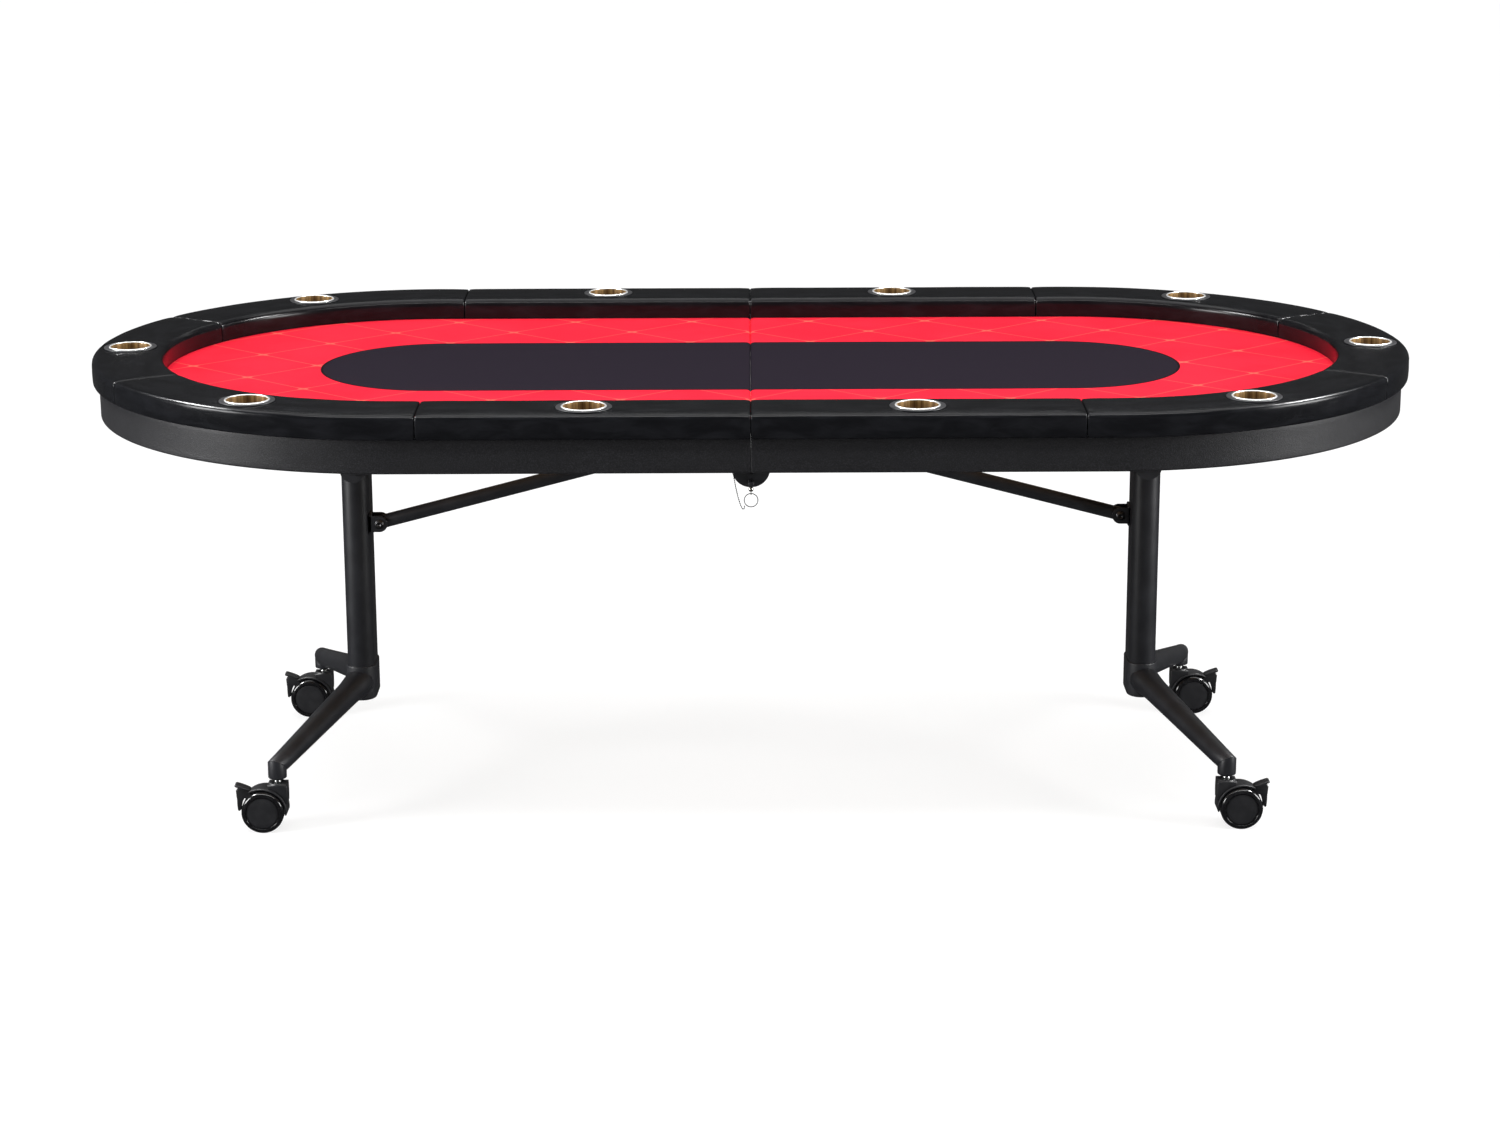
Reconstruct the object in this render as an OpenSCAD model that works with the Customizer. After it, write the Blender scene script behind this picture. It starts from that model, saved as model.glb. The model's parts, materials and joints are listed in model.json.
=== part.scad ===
// Folding racetrack poker table on two column legs with braked twin-wheel castors.
// Millimetres. Origin on the floor at the centre of the plan. +X along the length,
// -Y is the side the lock pin is on, +Z up.

/* [Table top] */
// overall length over the padded rail
length = 2360; // [2100:10:2600]
// overall width over the padded rail
width = 1160; // [1000:10:1250]
// height of the top of the padded rail
rail_top = 802; // [740:1:820]
// width of the padded rail, inside to outside
rail_w = 125; // [90:1:160]
// height of the padded rail
rail_h = 43; // [30:1:60]
// height of the apron under the rail
apron_h = 60; // [40:1:90]
// how far the apron's face is set in from the rail's face
apron_inset = 11; // [4:1:30]
// thickness of the plywood deck
deck_t = 20; // [12:1:25]
// thickness of the foam and cloth on the deck
cloth_t = 5; // [3:1:10]
// distance from the centre to the seam between straight rail segments
seam_x = 553.5; // [400:0.5:590]
// angle of the seams beside the two end rail segments
seam_deg = 31; // [20:1:45]

/* [Cup holders] */
// inside radius of a cup holder
cup_r = 35; // [30:0.5:45]
// depth of a cup holder below its lip
cup_d = 61; // [40:1:75]
// radius of a cup holder's flange
cup_flange_r = 47; // [42:0.5:55]
// distance from the rail's outer edge to a cup's centre
cup_in = 60; // [50:1:70]
// distance along the table from the centre to the first cup
cup_x = 277; // [200:1:350]
// angle of the corner cups round the end of the table
cup_deg = 62; // [50:1:75]

/* [Legs] */
// distance from the centre to a post
post_x = 719.5; // [600:0.5:800]
// thickness of a post along the table
post_t = 50; // [40:1:60]
// width of a post across the table
post_w = 97; // [60:1:120]
// height of the pivot between a post and the top
pivot_z = 585; // [560:1:650]
// how far out along the table a castor stem stands
stem_x = 837; // [780:1:900]
// how far out across the table a castor stem stands
stem_y = 338; // [250:1:450]

/* [Castors] */
// wheel radius
wheel_r = 37.5; // [30:0.5:50]
// width of one wheel of a pair
wheel_w = 20; // [14:1:26]
// trail from the stem to the axle
trail = 26; // [15:1:40]

/* [Folding] */
// height of the brace bolt on the post
brace_z = 479; // [450:1:520]
// radius of a brace tube
brace_r = 12.5; // [9:0.5:16]
// distance of a brace from the middle of the table
brace_y = 20; // [18:1:30]
// radius of the hinge lug discs
lug_r = 32; // [30:1:35]
// how far the outer lugs stand inside the apron's inner face
lug_in = 22; // [20:1:26]
// drop of the lock pin below the hinge axis
pin_drop = 22.5; // [20:0.5:24]
// opening angle between the halves when folded
fold_deg = 150; // [120:1:160]

/* [Hidden] */
$fn = 64;
hw = width / 2;                     // half width, and radius of each end
ex = length / 2 - hw;               // centre of each end
rail_z = rail_top - rail_h;         // underside of the rail
hinge_z = rail_z - apron_h;         // hinge axis, at the apron's lower edge
apron_t = 12;                       // thickness of the apron
apron_r = hw - apron_inset;         // face of the apron
lug_y = apron_r - apron_t - lug_in; // outer face of the left half's lugs
lug_t = 4;                          // thickness of a lug
lug_step = 5;                       // the right half's lugs lie this far inside the left's
tube_w = 25;                        // square tubes of the under-frame
tube_wall = 1.5;
tube_y = 200;                       // distance of the long tubes from the middle
deck_z = rail_z - deck_t;           // underside of the deck
bore_play = 0.05;                   // clearance of a pin in its bore
pivot_r = 6;                        // pin between a post and its bracket
brace_bolt_r = 5;
lock_r = 4;
stem_r = 5;
axle_r = 4;
lever_pin_r = 2.5;
deck_r = hw - 105;                  // edge of the deck
field_r = hw - rail_w - 0.6;        // edge of the cloth
cup_cr = hw - cup_in;               // radius of the corner cups about the end's centre
gap = 0.3;                          // half gap at a seam
brace_in = 42.5;                    // brace bolt, inward from the post's centre
qx = 63.6;                          // closed position of the brace's upper pin, past the centre
qz = hinge_z - 27.2;
brace_dx = post_x - brace_in + qx;
brace_dz = qz - brace_z;
brace_len = sqrt(brace_dx * brace_dx + brace_dz * brace_dz);
brace_a = atan2(brace_dz, brace_dx);
wheel_gap = 8;                      // half the gap between the two wheels of a castor

// ---------- helpers: everything is drawn for the right half, s = -1 mirrors it ----------
module side(s) { mirror([s < 0 ? 1 : 0, 0, 0]) children(); }
module ypeg(r, y0, y1) { translate([0, y1, 0]) rotate([90, 0, 0]) cylinder(r = r, h = y1 - y0); }

// stands at a and turns +Z to point along d
module along(a, d) { translate(a) rotate([0, acos(d[2] / norm(d)), atan2(d[1], d[0])]) children(); }

// one half of a racetrack plate, edge at radius r, from the seam outwards
module half_plate(r, z0, z1, x0 = 1) {
    translate([x0, -r, z0]) cube([ex - x0, 2 * r, z1 - z0]);
    intersection() {
        translate([ex, 0, z0]) cylinder(r = r, h = z1 - z0, $fn = 128);
        translate([ex - 0.01, -r - 1, z0]) cube([r + 2, 2 * r + 2, z1 - z0]);
    }
}

module rail_profile() {
    a = hw - rail_w;
    t = 12;
    b = 6;
    translate([a + t, rail_z + 10]) square([rail_w - 2 * t, rail_h - 10]);
    translate([a, rail_z + b]) square([rail_w, rail_h - b - t]);
    translate([a + b, rail_z]) square([rail_w - 2 * b, rail_h - t]);
    for (x = [a + t, hw - t]) translate([x, rail_top - t]) circle(r = t);
    for (x = [a + b, hw - b]) translate([x, rail_z + b]) circle(r = b);
}
// straight run of rail on side t (-1 front, 1 rear) from x0 to x1
module rail_run(x0, x1, t) {
    translate([x0, 0, 0]) mirror([0, t < 0 ? 1 : 0, 0])
        rotate([90, 0, 90]) linear_extrude(height = x1 - x0) rail_profile();
}
module rail_arc(a0, a1) {
    translate([ex, 0, 0]) rotate([0, 0, a0])
        rotate_extrude(angle = a1 - a0, $fn = 128) rail_profile();
}
module cup_bore(x, y) { translate([x, y, rail_z - 5]) cylinder(r = cup_r + 2, h = rail_h + 10); }
function on_end(deg) = [ex + cup_cr * cos(deg), cup_cr * sin(deg)];
cup_places = [[cup_x, -cup_cr], on_end(-cup_deg), on_end(0), on_end(cup_deg), [cup_x, cup_cr]];

module rail_mid(s, t) {
    color([0.06, 0.06, 0.065]) side(s) difference() {
        rail_run(1, seam_x - gap, t);
        cup_bore(cup_x, t * cup_cr);
    }
}
module rail_corner(s, t) {
    g = asin(gap / hw);
    color([0.06, 0.06, 0.065]) side(s) mirror([0, t > 0 ? 1 : 0, 0]) difference() {
        union() {
            rail_run(seam_x + gap, ex + 0.01, -1);
            rail_arc(-90, -seam_deg - g);
        }
        cup_bore(on_end(-cup_deg)[0], on_end(-cup_deg)[1]);
    }
}
module rail_end(s) {
    g = asin(gap / hw);
    color([0.06, 0.06, 0.065]) side(s) difference() {
        rail_arc(-seam_deg + g, seam_deg - g);
        cup_bore(ex + cup_cr, 0);
    }
}
module apron(s) {
    color([0.07, 0.07, 0.075]) side(s) difference() {
        half_plate(apron_r, hinge_z, rail_z);
        half_plate(apron_r - apron_t, hinge_z - 1, rail_z + 1, 0);
    }
}
module deck(s) { color([0.45, 0.35, 0.25]) side(s) half_plate(deck_r, deck_z, rail_z); }
module playfield(s) { color([0.8, 0.06, 0.12]) side(s) half_plate(field_r, rail_z, rail_z + cloth_t); }
module cups(s) {
    flange_t = 1.5;
    wall = 0.8;
    base = 1;
    floor_z = rail_top + flange_t - cup_d;
    color([0.75, 0.65, 0.5]) side(s) for (p = cup_places) translate(p) difference() {
        union() {
            translate([0, 0, floor_z - base]) cylinder(r = cup_r + wall, h = cup_d + base);
            translate([0, 0, rail_top]) cylinder(r = cup_flange_r, h = flange_t);
        }
        translate([0, 0, floor_z]) cylinder(r = cup_r, h = cup_d + 5);
    }
}
// square tubes under the deck: two long ones and two cross ones
module frame(s) {
    tube_l = 980;
    cross_w = 30;
    cross_l = 2 * tube_y - tube_w - 3;
    bore = tube_w - 2 * tube_wall;
    color([0.08, 0.08, 0.09]) side(s) {
        for (y = [-tube_y, tube_y]) translate([60, y - tube_w / 2, deck_z - tube_w]) difference() {
            cube([tube_l, tube_w, tube_w]);
            translate([-1, tube_wall, tube_wall]) cube([tube_l + 2, bore, bore]);
        }
        for (x = [110, post_x - cross_w / 2]) translate([x, -cross_l / 2, deck_z - tube_w]) difference() {
            cube([cross_w, cross_l, tube_w]);
            translate([tube_wall, -1, tube_wall]) cube([cross_w - 2 * tube_wall, cross_l + 2, bore]);
        }
    }
}
// channel that hangs from the deck and holds the post's pivot pin
module post_bracket(s) {
    z = deck_z - tube_w - 0.5;
    t = 5;
    cheek_r = 24;
    y0 = post_w / 2 + 2;
    color([0.08, 0.08, 0.09]) side(s) {
        difference() {
            union() {
                translate([post_x - 60, -70, z - t]) cube([120, 140, t]);
                for (m = [0, 1]) translate([post_x, 0, 0]) mirror([0, m, 0]) {
                    translate([-cheek_r, y0, pivot_z]) cube([2 * cheek_r, t, z - pivot_z]);
                    translate([0, 0, pivot_z]) ypeg(cheek_r, y0, y0 + t);
                }
            }
            translate([post_x, 0, pivot_z]) ypeg(pivot_r + bore_play, -100, 100);
        }
        translate([post_x, 0, pivot_z]) {
            ypeg(pivot_r, -y0 - 7, y0 + 7);
            ypeg(10, -y0 - 11, -y0 - t - 0.2);
            ypeg(10, y0 + t + 0.2, y0 + 11);
        }
    }
}
// hinge lugs on spacers behind the apron: the left half's lie outside the right half's
module hinge_plates(s) {
    y1 = lug_y - (s < 0 ? 0 : lug_step);
    arm_x = 12;
    arm_l = 150;
    color([0.05, 0.05, 0.05]) for (m = [0, 1]) mirror([0, m, 0]) side(s) translate([0, 0, hinge_z])
        difference() {
            union() {
                ypeg(lug_r, y1 - lug_t, y1);
                translate([arm_x, y1 - lug_t, 3]) cube([arm_l, lug_t, 33]);
                for (x = [95, 145]) translate([x, 0, 19.5]) ypeg(8, y1 - 1, apron_r - apron_t - 0.1);
            }
            ypeg(brace_bolt_r + (s < 0 ? 0 : bore_play), y1 - 9, y1 + 11);
            translate([0, 0, -pin_drop]) ypeg(lock_r + 0.2, y1 - 9, y1 + 11);
            // the folded halves' lock hole
            if (s > 0) translate([pin_drop * sin(fold_deg), 0, -pin_drop * cos(fold_deg)])
                ypeg(lock_r + 0.2, y1 - 9, y1 + 11);
        }
}
module hinge_bolts() {
    color([0.3, 0.3, 0.3]) for (m = [0, 1]) mirror([0, m, 0]) translate([0, 0, hinge_z]) {
        ypeg(5, lug_y - 16, lug_y + 0.2);
        ypeg(9, lug_y + 0.1, lug_y + 3.4);
        ypeg(8.5, lug_y - 16, lug_y - 9.5);
    }
}
// slotted cheeks under each half that take the end pin of the other half's brace
module brace_guide(s) {
    slot_x = 52.2;
    slot_z = hinge_z - 21.1;
    slot_r = 13;
    slot_half = 6;
    cheek_r = 22;
    cheek_y = 15.75;
    t = 3.5;
    color([0.08, 0.08, 0.09]) side(s) translate([slot_x, s > 0 ? -brace_y : brace_y, 0]) {
        for (m = [-1, 1]) translate([0, m * cheek_y, slot_z]) difference() {
            union() {
                ypeg(cheek_r, -t / 2, t / 2);
                translate([-cheek_r, -t / 2, 0]) cube([2 * cheek_r, t, deck_z - slot_z]);
            }
            for (d = [-slot_half, slot_half]) translate([d, 0, 0]) ypeg(slot_r, -t, t);
            translate([-slot_half, -t, -slot_r]) cube([2 * slot_half, 2 * t, 2 * slot_r]);
        }
        translate([-cheek_r, -cheek_y - t / 2, deck_z - t]) cube([2 * cheek_r, 2 * cheek_y + t, t]);
    }
}

// ---------- lock pin, ring and chain ----------
pin_z = hinge_z - pin_drop;
pin_y = 4.4 - lug_y;                // tip, still inside the left lug
eye_y = pin_y - 20;                 // eye of the pin, which the ring hangs in
eye_drop = 16.5;
ring_r = 11.4;
module lock_pin() {
    head_l = 10;
    tab_w = 6;
    color([0.8, 0.78, 0.7]) translate([0, 0, pin_z]) difference() {
        union() {
            ypeg(lock_r, eye_y - 4, pin_y);
            ypeg(5, eye_y - 5, eye_y - 5 + head_l);
            translate([-1, eye_y - tab_w / 2, -19]) cube([2, tab_w, 19]);
        }
        translate([-3, eye_y, -eye_drop]) rotate([0, 90, 0]) cylinder(r = 1.6, h = 6);
    }
}
module pull_ring() {
    color([0.7, 0.7, 0.7]) translate([0, eye_y, pin_z - eye_drop - ring_r + 0.2]) rotate([90, 0, 0])
        rotate_extrude() translate([ring_r, 0]) circle(r = 0.9, $fn = 16);
}
// route from the left lug's face, seen from the hinge axis, in a loop and up to the ring
chain = [[-30, -1.2, 4], [-29.5, -4, -4], [-28, -8, -16], [-25, -11.5, -31], [-21.5, -14, -46],
         [-17, -15.4, -60], [-14, -15.6, -65.5], [-12.2, -15.6, -66],
         [-11.2, -15.6, -63.5], [-10.6, -15.6, -58.6]];
module bead_chain() {
    color([0.5, 0.5, 0.5]) translate([0, -lug_y, hinge_z]) for (i = [0:len(chain) - 2]) {
        d = chain[i + 1] - chain[i];
        along(chain[i], d) cylinder(r = 0.8, h = norm(d), $fn = 16);
        translate(chain[i]) sphere(r = 1.15, $fn = 16);
    }
}

// ---------- legs ----------
post_z = 150;                       // foot of the post, inside its socket
socket_t = 2.5;                     // wall of the socket
module stadium(t, w, z0, z1) {
    for (y = [-1, 1]) translate([0, y * (w - t) / 2, z0]) cylinder(r = t / 2, h = z1 - z0);
    translate([-t / 2, -(w - t) / 2, z0]) cube([t, w - t, z1 - z0]);
}
module post(s) {
    wall = 2;
    color([0.09, 0.09, 0.1]) side(s) translate([post_x, 0, 0]) difference() {
        stadium(post_t, post_w, post_z, pivot_z + 24);
        stadium(post_t - 2 * wall, post_w - 2 * wall, post_z + 10, pivot_z + 30);
        translate([0, 0, pivot_z]) ypeg(pivot_r + bore_play, -100, 100);
    }
}
module base_socket(s) {
    color([0.08, 0.08, 0.09]) side(s) translate([post_x, 0, 0]) difference() {
        stadium(post_t + 2 * socket_t, post_w + 2 * socket_t, post_z - 4, post_z + 61);
        stadium(post_t + 0.2, post_w + 0.2, post_z - 0.2, post_z + 70);
    }
}
foot_a = [post_x + 6, -44, 178];     // start of a front foot, inside the socket's wall
foot_b = [stem_x, -stem_y, 117];     // where its axis meets the castor stem's
foot_d = foot_b - foot_a;
foot_l = norm(foot_d);
// half space on the foot's side of the mitre between the foot and its end cap
module mitre(flip) {
    m = foot_d / foot_l + [0, 0, -1];
    along(foot_b, flip * m) translate([-300, -300, 0]) cube([600, 600, 600]);
}
module foot() {
    difference() {
        union() {
            difference() {
                along(foot_a, foot_d) difference() {
                    cylinder(r1 = 23.5, r2 = 16.6, h = foot_l + 30);
                    translate([0, 0, -1]) cylinder(r1 = 21, r2 = 14.5, h = foot_l - 15);
                }
                mitre(1);
            }
            difference() {
                translate([stem_x, -stem_y, 96]) cylinder(r = 16.2, h = 60);
                mitre(-1);
            }
        }
        translate([post_x, 0, 0])
            stadium(post_t + 2 * socket_t + bore_play, post_w + 2 * socket_t + bore_play, 100, 260);
        translate([stem_x, -stem_y, 90]) cylinder(r = stem_r + bore_play, h = 24);
    }
}
module feet(s) { color([0.08, 0.08, 0.09]) side(s) for (t = [0, 1]) mirror([0, t, 0]) foot(); }
module castor_stems(s) {
    color([0.75, 0.75, 0.72]) side(s) for (t = [-1, 1]) translate([stem_x, t * stem_y, 0]) {
        translate([0, 0, 66]) cylinder(r = stem_r, h = 46);
        // collar below the foot's end cap
        translate([0, 0, 92]) cylinder(r = 8, h = 3.9);
    }
}
module brace_clevis(s) {
    y = s < 0 ? -brace_y : brace_y;
    ear_r = 15;
    ear_y = 15;
    ear_t = 4;
    bolt_x = post_x - brace_in;
    color([0.1, 0.1, 0.11]) side(s) {
        difference() {
            union() {
                for (m = [-1, 1]) translate([bolt_x, y + m * ear_y, brace_z]) {
                    ypeg(ear_r, -ear_t / 2, ear_t / 2);
                    translate([0, -ear_t / 2, -ear_r]) cube([brace_in - 22, ear_t, 2 * ear_r]);
                }
                translate([post_x - 27.5, y - ear_y - ear_t / 2, brace_z - 20])
                    cube([8, 2 * ear_y + ear_t, 40]);
            }
            translate([post_x, 0, 0]) stadium(post_t, post_w, 300, 600);
            translate([bolt_x, y, brace_z]) ypeg(brace_bolt_r, -30, 30);
        }
        translate([bolt_x, y, brace_z]) {
            ypeg(brace_bolt_r, -17.2, 17.2);
            ypeg(8.5, -21, -17.1);
            ypeg(8.5, 17.1, 21);
        }
    }
}
module brace(s) {
    eye_y = 13;
    color([0.09, 0.09, 0.1]) side(s) translate([post_x - brace_in, s < 0 ? -brace_y : brace_y, brace_z])
        rotate([0, brace_a, 0]) difference() {
            union() {
                translate([-brace_len, 0, 0]) rotate([0, 90, 0]) cylinder(r = brace_r, h = brace_len);
                ypeg(13.5, -eye_y, eye_y);
                translate([-brace_len, 0, 0]) {
                    ypeg(13, -eye_y, eye_y);
                    ypeg(4, -17.5, 17.5);
                }
            }
            ypeg(brace_bolt_r + bore_play, -30, 30);
            // hollow of the tube and its drain hole
            translate([30 - brace_len, 0, 0]) rotate([0, 90, 0])
                cylinder(r = brace_r - 1.6, h = brace_len - 60);
            translate([-60, 0, -20]) cylinder(r = 1.5, h = 20);
        }
}

// ---------- castors: drawn at the stem, with +X along the trail ----------
lever_at = [trail + 27, 0, wheel_r + 27];   // pin of the brake lever
fender_r = 38.8;                            // inner radius of the fender
module castor_at(s, t) { side(s) translate([stem_x, t * stem_y, 0]) children(); }
module housing(s, t) {
    hub = [trail, 0, wheel_r];
    color([0.05, 0.05, 0.055]) castor_at(s, t) difference() {
        union() {
            translate([0, 0, 72]) cylinder(r = 17, h = 16);
            // web between the wheels
            translate(hub) ypeg(29, -7, 7);
            translate([-13, -7, wheel_r]) cube([trail + 13, 14, 45]);
            // fender over the stem side of the wheels
            translate(hub) intersection() {
                difference() {
                    ypeg(43, -22, 22);
                    ypeg(fender_r, -30, 30);
                }
                rotate([0, -6, 0]) translate([-60, -30, 0]) cube([68, 60, 60]);
            }
            translate([-17, -17, 74]) cube([34, 34, 5]);
            // tab for the brake lever
            translate(lever_at) ypeg(6, -3, 3);
            translate(lever_at - [15, 3, 13]) cube([15, 6, 19]);
            translate(hub) ypeg(axle_r, -25, 25);
        }
        for (w = [-1, 1]) translate(hub + [0, w * (wheel_gap + 15), 0]) difference() {
            ypeg(fender_r, -15.5, 15.5);
            ypeg(axle_r, -30, 30);
        }
        translate([0, 0, 60]) cylinder(r = stem_r + bore_play, h = 40);
        translate(lever_at) ypeg(lever_pin_r + bore_play, -10, 10);
    }
}
// w = -1 is the wheel on the -Y side
module wheel(s, t, w) {
    face_y = wheel_gap + wheel_w;
    color([0.05, 0.05, 0.05]) castor_at(s, t) translate([trail, 0, wheel_r])
        mirror([0, w < 0 ? 1 : 0, 0]) difference() {
            union() {
                ypeg(wheel_r, wheel_gap, face_y - 3);
                translate([0, face_y, 0]) rotate([90, 0, 0])
                    cylinder(r1 = wheel_r - 4, r2 = wheel_r, h = 3.01);
            }
            ypeg(axle_r + bore_play, wheel_gap - 1, 25.2);
            // the face disc lies below the rim's edge
            ypeg(26.5, face_y - 1.2, face_y + 2);
        }
}
module lever(s, t) {
    cheek_y = 4.75;
    cheek_t = 2.7;
    color([0.05, 0.05, 0.05]) castor_at(s, t) translate(lever_at) {
        for (w = [-1, 1]) translate([0, w * cheek_y, 0]) {
            ypeg(6, -cheek_t / 2, cheek_t / 2);
            translate([0, -cheek_t / 2, -5]) cube([20, cheek_t, 10]);
            translate([-3, -cheek_t / 2, 2]) cube([23, cheek_t, 8]);
        }
        // foot pad
        translate([-6, -11, 7.5]) rotate([0, -12, 0]) cube([29, 22, 5]);
        // tail down the outside of the wheels
        translate([13, -6, -30]) cube([6.5, 12, 41]);
        ypeg(lever_pin_r, -6.1, 6.1);
    }
}

apron(-1);  // apron_left
deck(-1);  // deck_left
playfield(-1);  // playfield_left
rail_mid(-1, -1);  // rail_left_front
rail_corner(-1, -1);  // rail_left_front_corner
rail_end(-1);  // rail_left_end
rail_corner(-1, 1);  // rail_left_rear_corner
rail_mid(-1, 1);  // rail_left_rear
cups(-1);  // cup_holders_left
frame(-1);  // frame_left
post_bracket(-1);  // post_bracket_left
hinge_plates(-1);  // hinge_plates_left
brace_guide(-1);  // brace_guide_left
apron(1);  // apron_right
deck(1);  // deck_right
playfield(1);  // playfield_right
rail_mid(1, -1);  // rail_right_front
rail_corner(1, -1);  // rail_right_front_corner
rail_end(1);  // rail_right_end
rail_corner(1, 1);  // rail_right_rear_corner
rail_mid(1, 1);  // rail_right_rear
cups(1);  // cup_holders_right
frame(1);  // frame_right
post_bracket(1);  // post_bracket_right
hinge_plates(1);  // hinge_plates_right
brace_guide(1);  // brace_guide_right
hinge_bolts();
lock_pin();
pull_ring();
bead_chain();
post(-1);  // post_left
base_socket(-1);  // base_socket_left
feet(-1);  // feet_left
castor_stems(-1);  // castor_stems_left
brace_clevis(-1);  // brace_clevis_left
brace(-1);  // brace_left
post(1);  // post_right
base_socket(1);  // base_socket_right
feet(1);  // feet_right
castor_stems(1);  // castor_stems_right
brace_clevis(1);  // brace_clevis_right
brace(1);  // brace_right
housing(-1, -1);  // castor_lf_housing
wheel(-1, -1, -1);  // castor_lf_wheel_a
wheel(-1, -1, 1);  // castor_lf_wheel_b
lever(-1, -1);  // castor_lf_lever
housing(-1, 1);  // castor_lr_housing
wheel(-1, 1, -1);  // castor_lr_wheel_a
wheel(-1, 1, 1);  // castor_lr_wheel_b
lever(-1, 1);  // castor_lr_lever
housing(1, -1);  // castor_rf_housing
wheel(1, -1, -1);  // castor_rf_wheel_a
wheel(1, -1, 1);  // castor_rf_wheel_b
lever(1, -1);  // castor_rf_lever
housing(1, 1);  // castor_rr_housing
wheel(1, 1, -1);  // castor_rr_wheel_a
wheel(1, 1, 1);  // castor_rr_wheel_b
lever(1, 1);  // castor_rr_lever
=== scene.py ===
"""Folding racetrack poker table: rails, cloth, cups, legs and castors built round the CAD frame."""
import functools
import json
import math

import bmesh
import bpy
import numpy as np
from mathutils import Euler, Matrix, Vector


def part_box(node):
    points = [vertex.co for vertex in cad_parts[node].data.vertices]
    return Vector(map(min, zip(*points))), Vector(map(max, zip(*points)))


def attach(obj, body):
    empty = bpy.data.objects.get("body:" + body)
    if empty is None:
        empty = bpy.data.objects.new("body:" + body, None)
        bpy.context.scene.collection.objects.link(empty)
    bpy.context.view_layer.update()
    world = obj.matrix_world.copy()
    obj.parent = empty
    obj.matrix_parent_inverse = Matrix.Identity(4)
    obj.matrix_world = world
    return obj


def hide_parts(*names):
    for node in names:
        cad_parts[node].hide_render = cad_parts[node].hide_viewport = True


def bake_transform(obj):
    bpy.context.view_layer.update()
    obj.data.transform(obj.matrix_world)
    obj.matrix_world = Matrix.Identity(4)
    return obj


bl_info = {
    "name": "Folding poker table",
    "version": (1, 0, 0),
    "blender": (4, 5, 0),
    "location": "View3D > Sidebar > Table",
    "description": "Builds the upholstery, cloth, metalwork and castors of a folding poker table",
    "category": "Add Mesh",
}

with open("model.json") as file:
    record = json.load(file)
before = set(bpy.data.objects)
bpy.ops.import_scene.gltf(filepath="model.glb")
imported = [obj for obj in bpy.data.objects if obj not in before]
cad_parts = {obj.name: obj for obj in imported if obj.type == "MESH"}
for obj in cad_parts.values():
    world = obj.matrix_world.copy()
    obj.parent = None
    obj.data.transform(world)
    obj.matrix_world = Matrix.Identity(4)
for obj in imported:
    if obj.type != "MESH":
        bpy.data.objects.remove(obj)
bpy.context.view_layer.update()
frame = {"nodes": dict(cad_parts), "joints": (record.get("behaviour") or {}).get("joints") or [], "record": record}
MM = 0.001
SIDES = {"left": -1.0, "right": 1.0}
SEGMENTS = ("front", "front_corner", "end", "rear_corner", "rear")
CASTORS = {"lf": (-1.0, -1.0), "lr": (-1.0, 1.0), "rf": (1.0, -1.0), "rr": (1.0, 1.0)}


def corner(node, top):
    """The lowest (top = 0) or highest (top = 1) corner of a CAD node, as an array."""
    return np.array(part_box(node)[top], float)


def middle(node):
    """The middle of a CAD node's box."""
    return (corner(node, 0) + corner(node, 1)) / 2


def joint_at(name):
    """Where a joint of the frame stands."""
    return next(np.array(j["pos_m"]) for j in frame["joints"] if j["name"] == name)


# The table's plan, read from the frame.
HALF_W = corner("rail_right_front", 0)[1] * -1.0
HALF_L = corner("rail_right_end", 1)[0]
END_X = HALF_L - HALF_W
RAIL_TOP = corner("rail_right_end", 1)[2]
RAIL_LOW = corner("rail_right_end", 0)[2]
RAIL_W = HALF_W + corner("rail_right_front", 1)[1]
RAIL_MID = HALF_W - RAIL_W / 2
SEAM_X = corner("rail_right_front", 1)[0]
SEAM_GAP = corner("rail_right_front_corner", 0)[0] - SEAM_X
HINGE_Z = corner("apron_right", 0)[2]
APRON_R = corner("apron_right", 1)[0] - END_X
CLOTH_TOP = corner("playfield_right", 1)[2]
CLOTH_LOW = corner("playfield_right", 0)[2]
CLOTH_R = corner("playfield_right", 1)[1]
# Half of the gap left open between the coverings of the two halves.
SEAM = 0.03 * MM
BOLT_HEAD = 3.4 * MM
LUG_Y = corner("hinge_bolts", 1)[1] - BOLT_HEAD
HALF_TURN = math.pi * RAIL_MID
TRACK_LEN = 2 * END_X + HALF_TURN
# How far round the end, from its middle, the end segment's seams stand.
SEAM_ARC = math.radians(31)
# The castors: the wheels trail behind the stem, and the brake turns on a pin in front of and above the hub.
WHEEL_TRAIL = 26 * MM
WHEEL_R = 37.5 * MM
BRAKE_PIN = 27
BRAKE_EYE = 6
# The camera: its place, its lens in mm, how far it looks down in degrees, and its roll in radians.
CAMERA_AT = (-0.0022, -6.0163, 2.0052)
CAMERA_LENS = 81.34
CAMERA_DOWN = 14.99
CAMERA_ROLL = -0.004
# Points nearer than the first are merged, and edges shorter than the second are dissolved.
MERGE_DIST = 2e-6
EMPTY_DIST = 1e-7


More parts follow.
